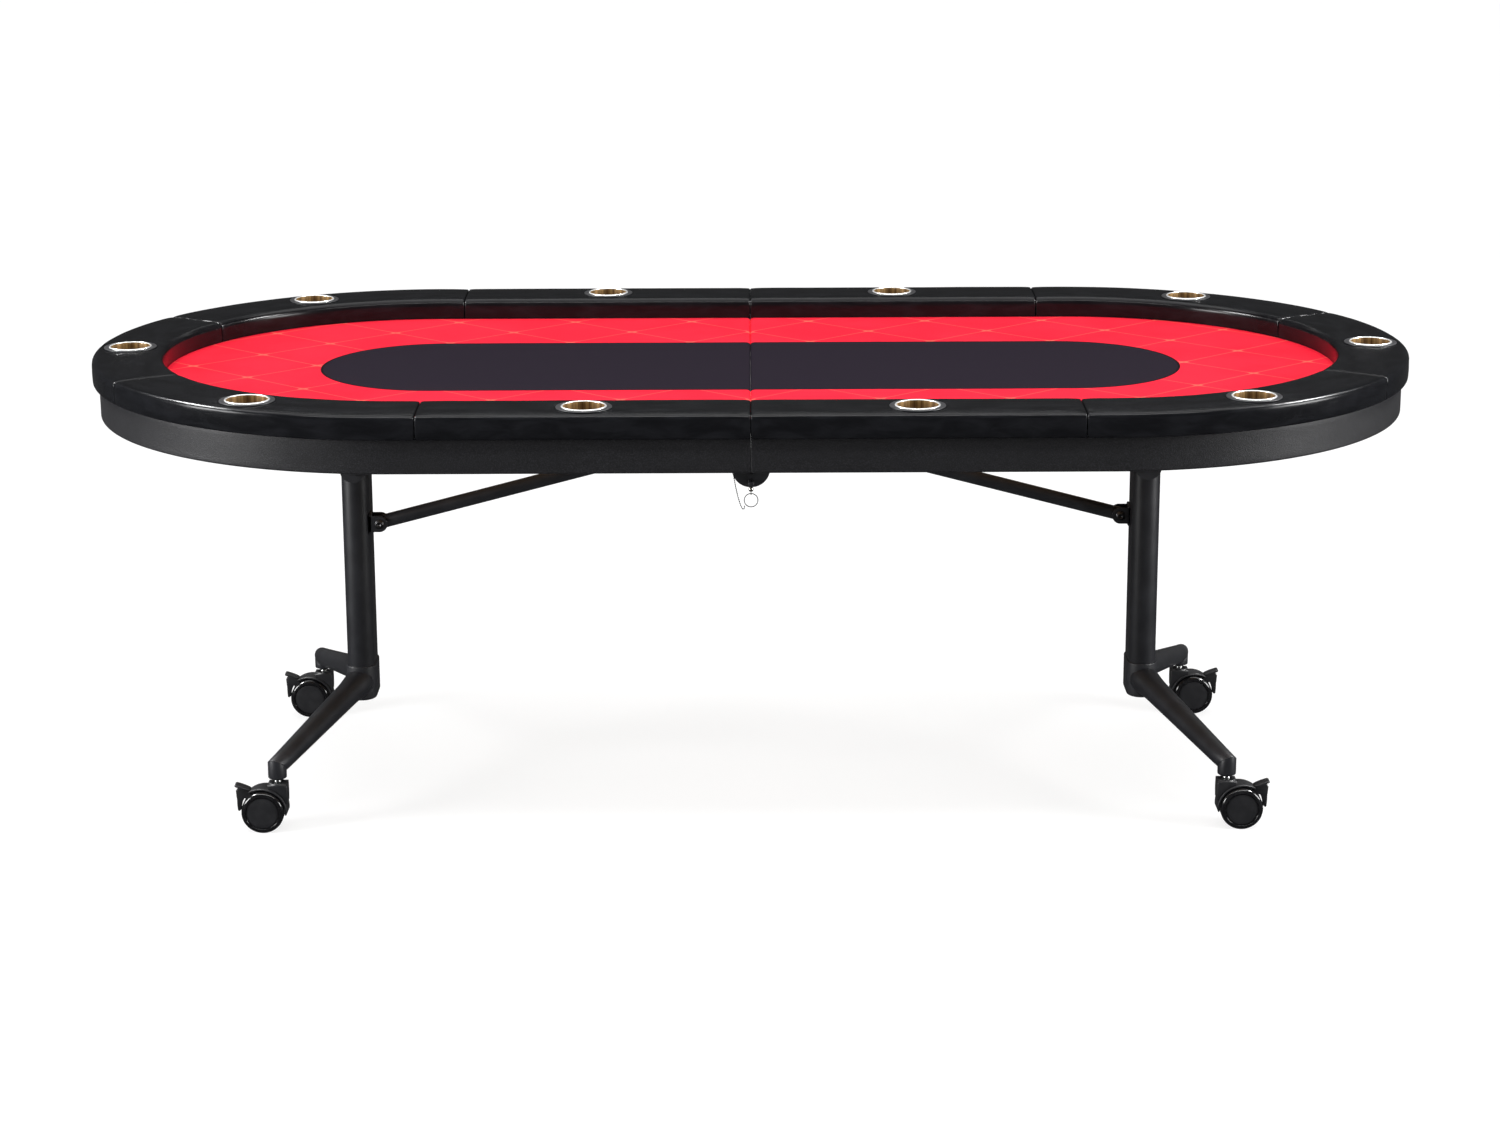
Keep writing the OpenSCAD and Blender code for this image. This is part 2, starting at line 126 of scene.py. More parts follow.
# ---------------------------------------------------------------- properties
class TableShape(bpy.types.PropertyGroup):
    """Sizes a user would change."""
    crown: bpy.props.FloatProperty(
        name="Rail crown", description="How far the middle of the rail's top stands above its edges",
        default=1.6 * MM, unit="LENGTH")
    outer_round: bpy.props.FloatProperty(
        name="Outer edge", description="Radius of the rail's outer top edge", default=7 * MM, unit="LENGTH")
    inner_round: bpy.props.FloatProperty(
        name="Inner edge", description="Radius of the rail's inner top edge", default=10 * MM, unit="LENGTH")
    crease: bpy.props.FloatProperty(
        name="Creases", description="Depth of the soft creases in the vinyl",
        default=0.16 * MM, unit="LENGTH")
    cloth_roll: bpy.props.FloatProperty(
        name="Cloth roll", description="How far the cloth rolls down at the centre seam",
        default=9 * MM, unit="LENGTH")
    inlay_half_width: bpy.props.FloatProperty(
        name="Inlay half width", description="Half the width of the dark racetrack on the cloth",
        default=0.210, unit="LENGTH")
    inlay_half_length: bpy.props.FloatProperty(
        name="Inlay half length", description="Half the length of the dark racetrack on the cloth",
        default=0.774, unit="LENGTH")
    lattice_x: bpy.props.FloatProperty(
        name="Lattice step X", description="Distance between lattice columns", default=0.1122, unit="LENGTH")
    lattice_y: bpy.props.FloatProperty(
        name="Lattice step Y", description="Distance between lattice rows", default=0.101, unit="LENGTH")


class TableColours(bpy.types.PropertyGroup):
    """Colours a user would change."""
    cloth: bpy.props.FloatVectorProperty(
        name="Cloth", description="Colour of the playing cloth",
        default=(0.82, 0.014, 0.036), subtype="COLOR")
    inlay: bpy.props.FloatVectorProperty(
        name="Inlay", description="Colour of the dark racetrack",
        default=(0.0110, 0.0078, 0.0135), subtype="COLOR")
    motif: bpy.props.FloatVectorProperty(
        name="Motif", description="Colour of the printed marks", default=(0.95, 0.40, 0.22), subtype="COLOR")
    vinyl: bpy.props.FloatVectorProperty(
        name="Vinyl", description="Colour of the rail vinyl",
        default=(0.0045, 0.0047, 0.0056), subtype="COLOR")
    apron: bpy.props.FloatVectorProperty(
        name="Apron", description="Colour of the apron covering",
        default=(0.0068, 0.0068, 0.0080), subtype="COLOR")
    steel: bpy.props.FloatVectorProperty(
        name="Steel", description="Colour of the powder coat",
        default=(0.0095, 0.0100, 0.0125), subtype="COLOR")


# ---------------------------------------------------------------- surfaces
def lattice_noise(u, v, seed):
    """Smooth value noise: random numbers on a whole-number lattice, eased between by 3t^2 - 2t^3."""
    table = np.random.default_rng(seed).uniform(-1.0, 1.0, (64, 64))
    iu, iv = np.floor(u).astype(int), np.floor(v).astype(int)
    fu, fv = u - iu, v - iv
    fu, fv = fu * fu * (3 - 2 * fu), fv * fv * (3 - 2 * fv)
    iu, iv, ju, jv = iu % 64, iv % 64, (iu + 1) % 64, (iv + 1) % 64
    low = table[iu, iv] * (1 - fu) + table[ju, iv] * fu
    high = table[iu, jv] * (1 - fu) + table[ju, jv] * fu
    return low * (1 - fv) + high * fv


def run_along(points):
    """Distance along a line of points, starting from 0."""
    return np.r_[0, np.cumsum(np.linalg.norm(np.diff(points, axis=0), axis=1))]


def girth_of(ring):
    """Distance round a closed ring of points, back to its first one."""
    return run_along(np.vstack([ring, ring[:1]]))


def unit(v):
    """A vector, or each row of an array of them, scaled to length 1."""
    return v / (np.linalg.norm(v) if v.ndim == 1 else np.linalg.norm(v, axis=1)[:, None])


def full_turn(count):
    """Angles at even steps round a circle."""
    return np.linspace(0, 2 * np.pi, count, endpoint=False)


def tidy_mesh(obj):
    """Merges coincident points, drops empty faces, turns every shell outwards and shades it smooth."""
    bm = bmesh.new()
    bm.from_mesh(obj.data)
    bmesh.ops.remove_doubles(bm, verts=bm.verts, dist=MERGE_DIST)
    bmesh.ops.dissolve_degenerate(bm, edges=bm.edges, dist=EMPTY_DIST)
    bmesh.ops.recalc_face_normals(bm, faces=bm.faces)
    for face in bm.faces:
        face.smooth = True
    bm.to_mesh(obj.data)
    bm.free()
    return obj


def loft(name, rings, run=None, girth=None, caps=(True, True), indices=None):
    """A closed shell through rings of points, shape (rings, points, 3), with flat caps.

    run and girth are each ring's and each point's distance in metres and become the UV map.
    indices gives the material index of each band between two rings.
    """
    n, m = rings.shape[:2]
    grid = np.arange(n * m).reshape(n, m)
    nxt = np.roll(grid, -1, axis=1)
    quads = np.stack([grid[:-1], grid[1:], nxt[1:], nxt[:-1]], axis=-1).reshape(-1, 4)
    ends = [ring.tolist() for flag, ring in zip(caps, (grid[0][::-1], grid[-1])) if flag]
    mesh = bpy.data.meshes.new(name)
    mesh.from_pydata(rings.reshape(-1, 3), [], quads.tolist() + ends)
    if run is None:
        run = run_along(rings.mean(axis=1))
    if girth is None:
        girth = girth_of(rings[n // 2])
    s, t = np.meshgrid(run, girth, indexing="ij")
    corners = [(s[:-1, :-1], t[:-1, :-1]), (s[1:, :-1], t[1:, :-1]),
               (s[1:, 1:], t[1:, 1:]), (s[:-1, 1:], t[:-1, 1:])]
    uv = np.stack([np.stack(c, axis=-1) for c in corners], axis=2).reshape(-1, 2)
    flat = [np.zeros((len(e), 2)) + [run[0], 0] for e in ends]
    uv = np.vstack([uv] + flat) if flat else uv
    layer = mesh.uv_layers.new(name="Surface")
    layer.data.foreach_set("uv", uv.astype(np.float32).ravel())
    if indices is not None:
        band = np.repeat(np.asarray(indices, np.int32), m)
        band = np.r_[band, np.full(len(ends), indices[-1], np.int32)]
        mesh.polygons.foreach_set("material_index", band)
    obj = bpy.data.objects.new(name, mesh)
    bpy.context.scene.collection.objects.link(obj)
    return tidy_mesh(obj)


def arc(cx, cy, radius, a0, a1, count):
    """Points on a circle from angle a0 to a1, in degrees."""
    a = np.radians(np.linspace(a0, a1, count))
    return np.stack([cx + radius * np.cos(a), cy + radius * np.sin(a)], axis=1)


def lathe(name, profile, centre, axis="Z", count=64, indices=None):
    """Turns a (radius, height) profile about an axis through centre. A radius of 0 closes a pole."""
    profile = np.asarray(profile, float)
    a = full_turn(count)
    r, h = profile[:, :1], profile[:, 1:]
    x, y, z = r * np.cos(a), r * np.sin(a), h + 0 * a
    order = {"Z": (x, y, z), "Y": (x, z, y), "X": (z, x, y)}[axis]
    rings = np.stack(order, axis=-1) + np.asarray(centre, float)
    girth = np.linspace(0, 2 * np.pi * profile[:, 0].max(), count + 1)
    return loft(name, rings, run_along(profile), girth, caps=(False, False), indices=indices)


def rod(name, radius, half, centre, count=24):
    """A plain round rod along y, with its middle at centre."""
    return lathe(name, [(0, -half), (radius, -half), (radius, half), (0, half)], centre, "Y", count)


def rounded_box(w, h, radii, step):
    """A closed rounded rectangle centred on 0 and its outward normals.

    radii are for the corners (+,+), (-,+), (-,-), (+,-), going round anticlockwise.
    """
    points, normals = [], []
    signs = [(1, 1), (-1, 1), (-1, -1), (1, -1)]
    for k, ((sx, sy), r) in enumerate(zip(signs, radii)):
        a = np.radians(np.linspace(90 * k, 90 * k + 90, 7))
        n = np.stack([np.cos(a), np.sin(a)], axis=1)
        points.append(np.array([sx * (w / 2 - r), sy * (h / 2 - r)]) + r * n)
        normals.append(n)
        (tx, ty), r2 = signs[(k + 1) % 4], radii[(k + 1) % 4]
        first = points[-1][-1]
        n_next = np.radians(90 * k + 90)
        d = np.array([math.cos(n_next), math.sin(n_next)])
        last = np.array([tx * (w / 2 - r2), ty * (h / 2 - r2)]) + r2 * d
        count = max(2, int(round(np.linalg.norm(last - first) / step)))
        f = np.linspace(0, 1, count + 1)[1:-1, None]
        points.append(first + (last - first) * f)
        normals.append(np.repeat(d[None], len(f), axis=0))
    return np.vstack(points), np.vstack(normals)


def track(s):
    """The plan's spine: straight, half turn, straight. Gives the spine's x and the outward normal."""
    s = np.asarray(s, float)
    turn = np.clip((s - END_X) / RAIL_MID, 0, math.pi)
    x = np.where(s < END_X, s, np.where(s > END_X + HALF_TURN, TRACK_LEN - s, END_X))
    return x, np.sin(turn), -np.cos(turn)


def stations(s0, s1, step, edge):
    """Places along a run, crowded into its two rounded edges, with each one's inset there."""
    bend = edge * (1 - np.cos(np.radians(np.linspace(0, 90, 6))))
    inner = np.linspace(s0 + edge, s1 - edge, max(3, int((s1 - s0 - 2 * edge) / step)))
    s = np.r_[s0 + bend[:-1], inner, (s1 - bend[:-1])[::-1]]
    e = np.minimum(s - s0, s1 - s)
    inset = np.where(e < edge, edge - np.sqrt(np.clip(edge ** 2 - (edge - e) ** 2, 0, None)), 0)
    return s, inset


def along_track(s, r, z):
    """Points at distance r from the spine and height z, for stations s."""
    x, nx, ny = track(s)
    return np.stack([x[:, None] + r * nx[:, None], r * ny[:, None], z + 0 * r], axis=-1)


def flip(rings, side):
    """Mirrors the right half's shape for the left half."""
    return rings * np.array([side, 1, 1])


def track_shell(name, side, s, r, z, normal, push, girth):
    """A section carried along the track, each of its points moved along the section's normal by push."""
    rings = along_track(s, r[None] + normal[:, 0] * push, z[None] + normal[:, 1] * push)
    return loft(name, flip(rings, side), s, girth)


def plate(name, outline, thickness, y, bevel=0.5 * MM):
    """A flat plate with bevelled edges from an (x, z) outline, centred at y."""
    outline = np.asarray(outline, float)
    nxt, prv = np.roll(outline, -1, axis=0), np.roll(outline, 1, axis=0)
    tangent = unit(nxt - prv)
    area = np.sum(outline[:, 0] * nxt[:, 1] - nxt[:, 0] * outline[:, 1])
    inward = np.stack([-tangent[:, 1], tangent[:, 0]], axis=1) * np.sign(area)
    h = thickness / 2
    turn = np.radians(np.linspace(90, 0, 5))
    near = [(bevel * (1 - math.cos(q)), -h + bevel * (1 - math.sin(q))) for q in turn]
    rows = near + [(inset, -dy) for inset, dy in near[::-1]]
    rings = []
    for inset, dy in rows:
        p = outline + inward * inset
        rings.append(np.stack([p[:, 0], np.full(len(p), y + dy), p[:, 1]], axis=1))
    return loft(name, np.array(rings))


def tube(name, points, radius, count):
    """A round tube through points; radius may vary. The rings stand square to the path."""
    p = np.asarray(points, float)
    r = np.broadcast_to(np.asarray(radius, float), (len(p),))
    d = unit(np.gradient(p, axis=0))
    up = np.array([0, 0, 1.0]) if abs(d[:, 2]).max() < 0.95 else np.array([0, 1.0, 0])
    u = unit(np.cross(d, up))
    v = np.cross(d, u)
    a = full_turn(count)
    ring = u[:, None] * np.cos(a)[None, :, None] + v[:, None] * np.sin(a)[None, :, None]
    return loft(name, p[:, None] + ring * r[:, None, None])


def join(name, parts, *materials):
    """Several shells as one object. Materials are given to each shell first, where there are any."""
    if materials:
        parts = [dress(part, *materials) for part in parts]
    with bpy.context.temp_override(active_object=parts[0], selected_editable_objects=parts):
        bpy.ops.object.join()
    parts[0].name = name
    parts[0].data.name = name
    return parts[0]


def cut(obj, tool):
    """Takes the tool's solid out of obj and removes the tool."""
    hole = obj.modifiers.new("hole", "BOOLEAN")
    hole.operation = "DIFFERENCE"
    hole.solver = "EXACT"
    hole.object = tool
    graph = bpy.context.evaluated_depsgraph_get()
    mesh = bpy.data.meshes.new_from_object(obj.evaluated_get(graph))
    obj.modifiers.remove(hole)
    old = obj.data
    obj.data = mesh
    bpy.data.meshes.remove(old)
    mesh.name = obj.name
    bpy.data.objects.remove(tool)
    return tidy_mesh(obj)


# ---------------------------------------------------------------- node writing
def arithmetic(operation, swapped=False):
    """A method that puts a number, and what it meets, into one Math node."""
    def method(self, *others):
        values = (*others, self) if swapped else (self, *others)
        out = self.kit.node("ShaderNodeMath", {"operation": operation}, dict(enumerate(values)))
        return Num(self.kit, out.outputs[0])
    return method


class Num:
    """A number socket. Python arithmetic on it adds Math nodes."""

    def __init__(self, kit, socket):
        self.kit, self.socket = kit, socket

    __add__ = arithmetic("ADD")
    __radd__ = arithmetic("ADD", swapped=True)
    __sub__ = arithmetic("SUBTRACT")
    __rsub__ = arithmetic("SUBTRACT", swapped=True)
    __mul__ = arithmetic("MULTIPLY")
    __rmul__ = arithmetic("MULTIPLY", swapped=True)
    __truediv__ = arithmetic("DIVIDE")
    __abs__ = arithmetic("ABSOLUTE")
    sqrt = arithmetic("SQRT")
    fract = arithmetic("FRACT")
    most = arithmetic("MAXIMUM")

    def step(self, low, high):
        """0 below low, 1 above high, eased between; falls instead of rises where high is below low."""
        settings = {"interpolation_type": "SMOOTHSTEP"}
        rise = high > low
        values = {"Value": self, "From Min": min(low, high), "From Max": max(low, high),
                  "To Min": 0.0 if rise else 1.0, "To Max": 1.0 if rise else 0.0}
        return Num(self.kit, self.kit.node("ShaderNodeMapRange", settings, values).outputs[0])


class Finish:
    """One material and its node tree."""

    def __init__(self, name):
        self.material = bpy.data.materials.new(name)
        self.material.use_nodes = True
        self.tree = self.material.node_tree
        self.bsdf = self.tree.nodes["Principled BSDF"]

    def node(self, kind, settings=None, values=None):
        """Adds a node, sets its settings, then its sockets' values or links."""
        made = self.tree.nodes.new(kind)
        for key, value in (settings or {}).items():
            if key == "stops":
                while len(made.color_ramp.elements) < len(value):
                    made.color_ramp.elements.new(1.0)
                for element, (place, colour) in zip(made.color_ramp.elements, value):
                    element.position, element.color = place, (*colour, 1.0)
            else:
                setattr(made, key, value)
        for key, value in (values or {}).items():
            self.put(made.inputs[key], value)
        return made

    def put(self, socket, value):
        """Links or sets one socket."""
        if isinstance(value, Num):
            self.tree.links.new(value.socket, socket)
        elif isinstance(value, bpy.types.NodeSocket):
            self.tree.links.new(value, socket)
        elif socket.type == "RGBA" and len(value) == 3:
            socket.default_value = (*value, 1.0)
        else:
            socket.default_value = value

    def spot(self, uv=False, scale=(1, 1, 1)):
        """Object coordinates, or the piece's own surface map, scaled."""
        coord = self.node("ShaderNodeTexCoord").outputs["UV" if uv else "Object"]
        return self.node("ShaderNodeMapping", None, {"Vector": coord, "Scale": scale}).outputs[0]

    def xyz(self, vector):
        """The three parts of a vector as numbers."""
        out = self.node("ShaderNodeSeparateXYZ", None, {0: vector}).outputs
        return Num(self, out[0]), Num(self, out[1]), Num(self, out[2])

    def noise(self, vector, scale, detail, rough=0.55, distort=0.0):
        """Cloudy noise from 0 to 1."""
        out = self.node("ShaderNodeTexNoise", None, {"Vector": vector, "Scale": scale, "Detail": detail,
                                                     "Roughness": rough, "Distortion": distort})
        return Num(self, out.outputs["Fac"])

    def cells(self, vector, scale):
        """Distance from the nearest of many scattered points."""
        out = self.node("ShaderNodeTexVoronoi", {"feature": "F1"}, {"Vector": vector, "Scale": scale})
        return Num(self, out.outputs["Distance"])

    def blend(self, mask, a, b):
        """Colour a where mask is 0 and b where it is 1."""
        mix = self.node("ShaderNodeMix", {"data_type": "RGBA"}, {"Factor": mask, 6: a, 7: b})
        return mix.outputs[2]

    def bump(self, height, distance, strength):
        """A surface raised by height, which runs from 0 to 1, over distance."""
        values = {"Height": height, "Distance": distance, "Strength": strength}
        return self.node("ShaderNodeBump", None, values).outputs[0]

    def surface(self, **values):
        """Sets the shader's sockets; underscores stand for spaces."""
        for key, value in values.items():
            self.put(self.bsdf.inputs[key.replace("_", " ")], value)
        return self.material


# Keeps one material per finish.
finish = functools.cache


def colours():
    """The colours that the panel sets."""
    return bpy.context.scene.table_colours


def shape():
    """The sizes that the panel sets."""
    return bpy.context.scene.table_shape


def shade(colour, factor, lift=0.0):
    """A colour made lighter or darker."""
    return tuple(min(1.0, c * factor + lift) for c in colour)


@finish
def rail_vinyl():
    """Glossy black vinyl: long soft creases along the rail, a fine leather grain, scuffs in the gloss."""
    f = Finish("rail_vinyl")
    run = f.spot(uv=True, scale=(9.0, 70.0, 1.0))
    long_crease = f.noise(run, 1.0, 4.0, 0.6, 1.2)
    crinkle = f.noise(f.spot(uv=True, scale=(60.0, 170.0, 1.0)), 1.0, 4.0, 0.65, 1.6)
    grain = f.cells(f.spot(), 1100.0)
    gloss = f.noise(f.spot(uv=True, scale=(14.0, 40.0, 1.0)), 1.0, 5.0, 0.6, 0.6)
    tint = f.blend(gloss.step(0.35, 0.75), colours().vinyl, shade(colours().vinyl, 1.9))
    height = long_crease * 1.0 + crinkle * 0.16 + grain * 0.02
    return f.surface(Base_Color=tint, Roughness=0.12 + gloss * 0.16, Specular_IOR_Level=0.15,
                     Normal=f.bump(height, 0.8 * MM, 0.26))


@finish
def apron_vinyl():
    """Satin pebbled vinyl with small bright flecks painted into its colour as highlights, where the pebbles catch
    the light.
    """
    f = Finish("apron_vinyl")
    where = f.spot()
    pebble = f.cells(where, 620.0)
    drift = f.noise(where, 9.0, 4.0)
    painted_glint_fleck = f.noise(where, 620.0, 2.0)
    # Painted highlight: the bright flecks in the colour stand in for pebbles catching the light.
    tint = f.blend(painted_glint_fleck.step(0.48, 0.62), colours().apron, shade(colours().apron, 2.6))
    return f.surface(Base_Color=tint, Roughness=0.40 + drift * 0.16, Specular_IOR_Level=0.38,
                     Normal=f.bump(pebble * 0.7 + painted_glint_fleck * 0.5 + drift * 3.0, 0.55 * MM, 0.55))


@finish
def playing_cloth():
    """Speed cloth: a diamond lattice of dotted lines with four-pointed marks, and the dark racetrack."""
    f = Finish("playing_cloth")
    where = f.spot()
    x, y, _ = f.xyz(where)
    ax, ay = abs(x), abs(y)
    size = shape()
    p, q = x / size.lattice_x, (y - 0.012) / size.lattice_y

    def off_line(value):
        """Distance, in lattice steps, from the nearest odd line."""
        return abs((value * 0.5).fract() - 0.5) * 2.0

    a, b = off_line(p + q), off_line(p - q)
    pitch = 22.0
    dash_a = abs(((p - q) * pitch).fract() - 0.5).step(0.40, 0.22)
    dash_b = abs(((p + q) * pitch).fract() - 0.5).step(0.40, 0.22)
    line = (a.step(0.026, 0.012) * dash_a).most(b.step(0.026, 0.012) * dash_b)
    mark = (a.sqrt() + b.sqrt()).step(0.56, 0.49)
    eye = (a + b).step(0.030, 0.045)
    half_w, half_l = size.inlay_half_width, size.inlay_half_length
    past = (ax - (half_l - half_w)).most(0.0)
    reach = (past * past + ay * ay).sqrt()
    inlay = reach.step(half_w + 0.0006, half_w - 0.0006)
    thread = f.noise(where, 2600.0, 2.0)
    cloud = f.noise(where, 7.0, 3.0)
    red, dark, print_ink = colours().cloth, colours().inlay, colours().motif
    base = f.blend(cloud.step(0.3, 0.7), red, shade(red, 1.08, 0.004))
    base = f.blend(line * 0.26, base, print_ink)
    base = f.blend(mark * eye * 0.18, base, print_ink)
    fuzz = f.blend(thread.step(0.3, 0.8), dark, shade(dark, 1.7))
    base = f.blend(inlay, base, fuzz)
    border = abs(reach - half_w).step(0.0026, 0.0016)
    base = f.blend(border, base, shade(dark, 0.3))
    weave = f.node("ShaderNodeTexWave", {"wave_type": "BANDS", "bands_direction": "DIAGONAL"},
                   {"Vector": where, "Scale": 420.0, "Distortion": 1.5, "Detail": 1.0})
    nap = thread * 0.6 + Num(f, weave.outputs["Fac"]) * 0.3
    return f.surface(Base_Color=base, Roughness=0.78 + thread * 0.12, Specular_IOR_Level=0.04,
                     Normal=f.bump(nap, 0.25 * MM, 0.5))


def metal(name, colour, rough, grain_scale, grain_depth, stretch=(1, 1, 1), metallic=1.0, spread=0.12):
    """A metal with drawn or cast grain in its gloss and its surface."""
    f = Finish(name)
    where = f.spot(scale=stretch)
    grain = f.noise(where, grain_scale, 4.0, 0.6)
    wear = f.noise(f.spot(), 45.0, 4.0)
    tint = f.blend(wear.step(0.35, 0.8), colour, shade(colour, 1.18, 0.002))
    return f.surface(Base_Color=tint, Metallic=metallic, Roughness=rough + grain * spread,
                     Normal=f.bump(grain, grain_depth, 0.5))


@finish
def cup_chrome():
    return metal("cup_chrome", (0.86, 0.86, 0.84), 0.24, 300.0, 0.02 * MM, metallic=0.55, spread=0.06)


@finish
def cup_flange():
    """Satin black nickel flange."""
    return metal("cup_flange", (0.020, 0.020, 0.023), 0.42, 260.0, 0.02 * MM, metallic=0.0, spread=0.1)


@finish
def cup_well():
    """Drawn brass-coloured well, streaked from top to bottom."""
    f = Finish("cup_well")
    where = f.spot(uv=True, scale=(5.0, 900.0, 1.0))
    streak = f.noise(where, 1.0, 5.0, 0.7)
    broad = f.noise(f.spot(uv=True, scale=(2.0, 70.0, 1.0)), 1.0, 3.0, 0.6)
    tint = f.blend(broad.step(0.35, 0.7), (0.075, 0.034, 0.009), (0.38, 0.23, 0.085))
    return f.surface(Base_Color=tint, Metallic=0.15, Specular_IOR_Level=0.25, Roughness=0.34 + streak * 0.25,
                     Normal=f.bump(streak, 0.05 * MM, 0.5))


def coat(name, dark, pale, swirl_scale, skin_scale, detail, skin_depth, rough, spread, strength=0.5):
    """A painted or moulded skin: a slow swirl in its colour and gloss, and fine pebbles in its surface."""
    f = Finish(name)
    where = f.spot()
    skin = f.noise(where, skin_scale, detail)
    swirl = f.noise(where, swirl_scale, 4.0)
    tint = f.blend(swirl.step(0.35, 0.8), dark, pale)
    return f.surface(Base_Color=tint, Roughness=rough + swirl * spread,
                     Normal=f.bump(skin, skin_depth * MM, strength))


@finish
def powder_coat():
    """Satin black powder coat: fine orange peel, a little dust in the gloss."""
    steel = colours().steel
    return coat("powder_coat", steel, shade(steel, 1.5), 22.0, 900.0, 3.0, 0.10, 0.34, 0.16, 0.45)


@finish
def black_casting():
    """Cast and painted steel with a coarser skin than the tubes."""
    steel = colours().steel
    return coat("black_casting", shade(steel, 1.2), shade(steel, 1.9), 30.0, 520.0, 4.0, 0.16, 0.42, 0.15)


@finish
def zinc():
    return metal("zinc", (0.62, 0.63, 0.62), 0.22, 500.0, 0.05 * MM, stretch=(1, 1, 6))


@finish
def nickel():
    return metal("nickel", (0.72, 0.69, 0.60), 0.20, 600.0, 0.03 * MM)


@finish
def bolt_steel():
    return metal("bolt_steel", (0.10, 0.10, 0.105), 0.35, 500.0, 0.04 * MM)


@finish
def chain_steel():
    return metal("chain_steel", (0.070, 0.070, 0.075), 0.30, 800.0, 0.02 * MM)


@finish
def gloss_nylon():
    """Glossy black nylon of the wheels, with faint turning marks."""
    f = Finish("gloss_nylon")
    where = f.spot()
    scuff = f.noise(where, 130.0, 5.0, 0.65)
    tint = f.blend(scuff.step(0.4, 0.8), (0.0045, 0.0045, 0.0052), (0.012, 0.012, 0.013))
    return f.surface(Base_Color=tint, Roughness=0.08 + scuff * 0.14, Normal=f.bump(scuff, 0.06 * MM, 0.4))


@finish
def satin_nylon():
    """Satin moulded nylon of the housings, levers and wheel discs."""
    return coat("satin_nylon", (0.0085, 0.0087, 0.0105), (0.0135, 0.0137, 0.0160),
                60.0, 1300.0, 2.0, 0.07, 0.40, 0.14)


@finish
def plywood():
    """Plywood seen from below: long grain, knots' swirl, darker pores."""
    f = Finish("plywood")
    grain = f.noise(f.spot(scale=(2.2, 26.0, 8.0)), 3.0, 6.0, 0.6, 1.8)
    pore = f.noise(f.spot(scale=(14.0, 320.0, 60.0)), 1.6, 4.0, 0.6, 0.4)
    tint = f.blend(grain.step(0.3, 0.72), (0.20, 0.115, 0.055), (0.42, 0.27, 0.145))
    tint = f.blend(pore.step(0.58, 0.72) * 0.5, tint, (0.10, 0.055, 0.028))
    return f.surface(Base_Color=tint, Roughness=0.62 + pore * 0.2,
                     Normal=f.bump(grain + pore, 0.25 * MM, 0.4))


def dress(obj, *materials):
    """Gives an object its materials, in slot order, and keeps each face's own slot number."""
    slots = obj.data.materials
    while len(slots) > len(materials):
        slots.pop()
    for i, material in enumerate(materials):
        if i < len(slots):
            slots[i] = material
        else:
            slots.append(material)
    return obj


def place(obj, body, slot, *nodes):
    """Puts a new piece on its body and hides the CAD nodes it stands for. The slot is not used."""
    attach(obj, body)
    if nodes:
        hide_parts(*nodes)
    return obj


# ---------------------------------------------------------------- stage
def add_light(name, place_at, target, size, power):
    """A soft white area light aimed at a point."""
    data = bpy.data.lights.new(name, "AREA")
    data.shape, data.size, data.size_y = "RECTANGLE", size[0], size[1]
    data.energy = power
    lamp = bpy.data.objects.new(name, data)
    bpy.context.scene.collection.objects.link(lamp)
    lamp.location = place_at
    aim = Vector(target) - Vector(place_at)
    lamp.rotation_euler = aim.to_track_quat("-Z", "Y").to_euler()
    return lamp


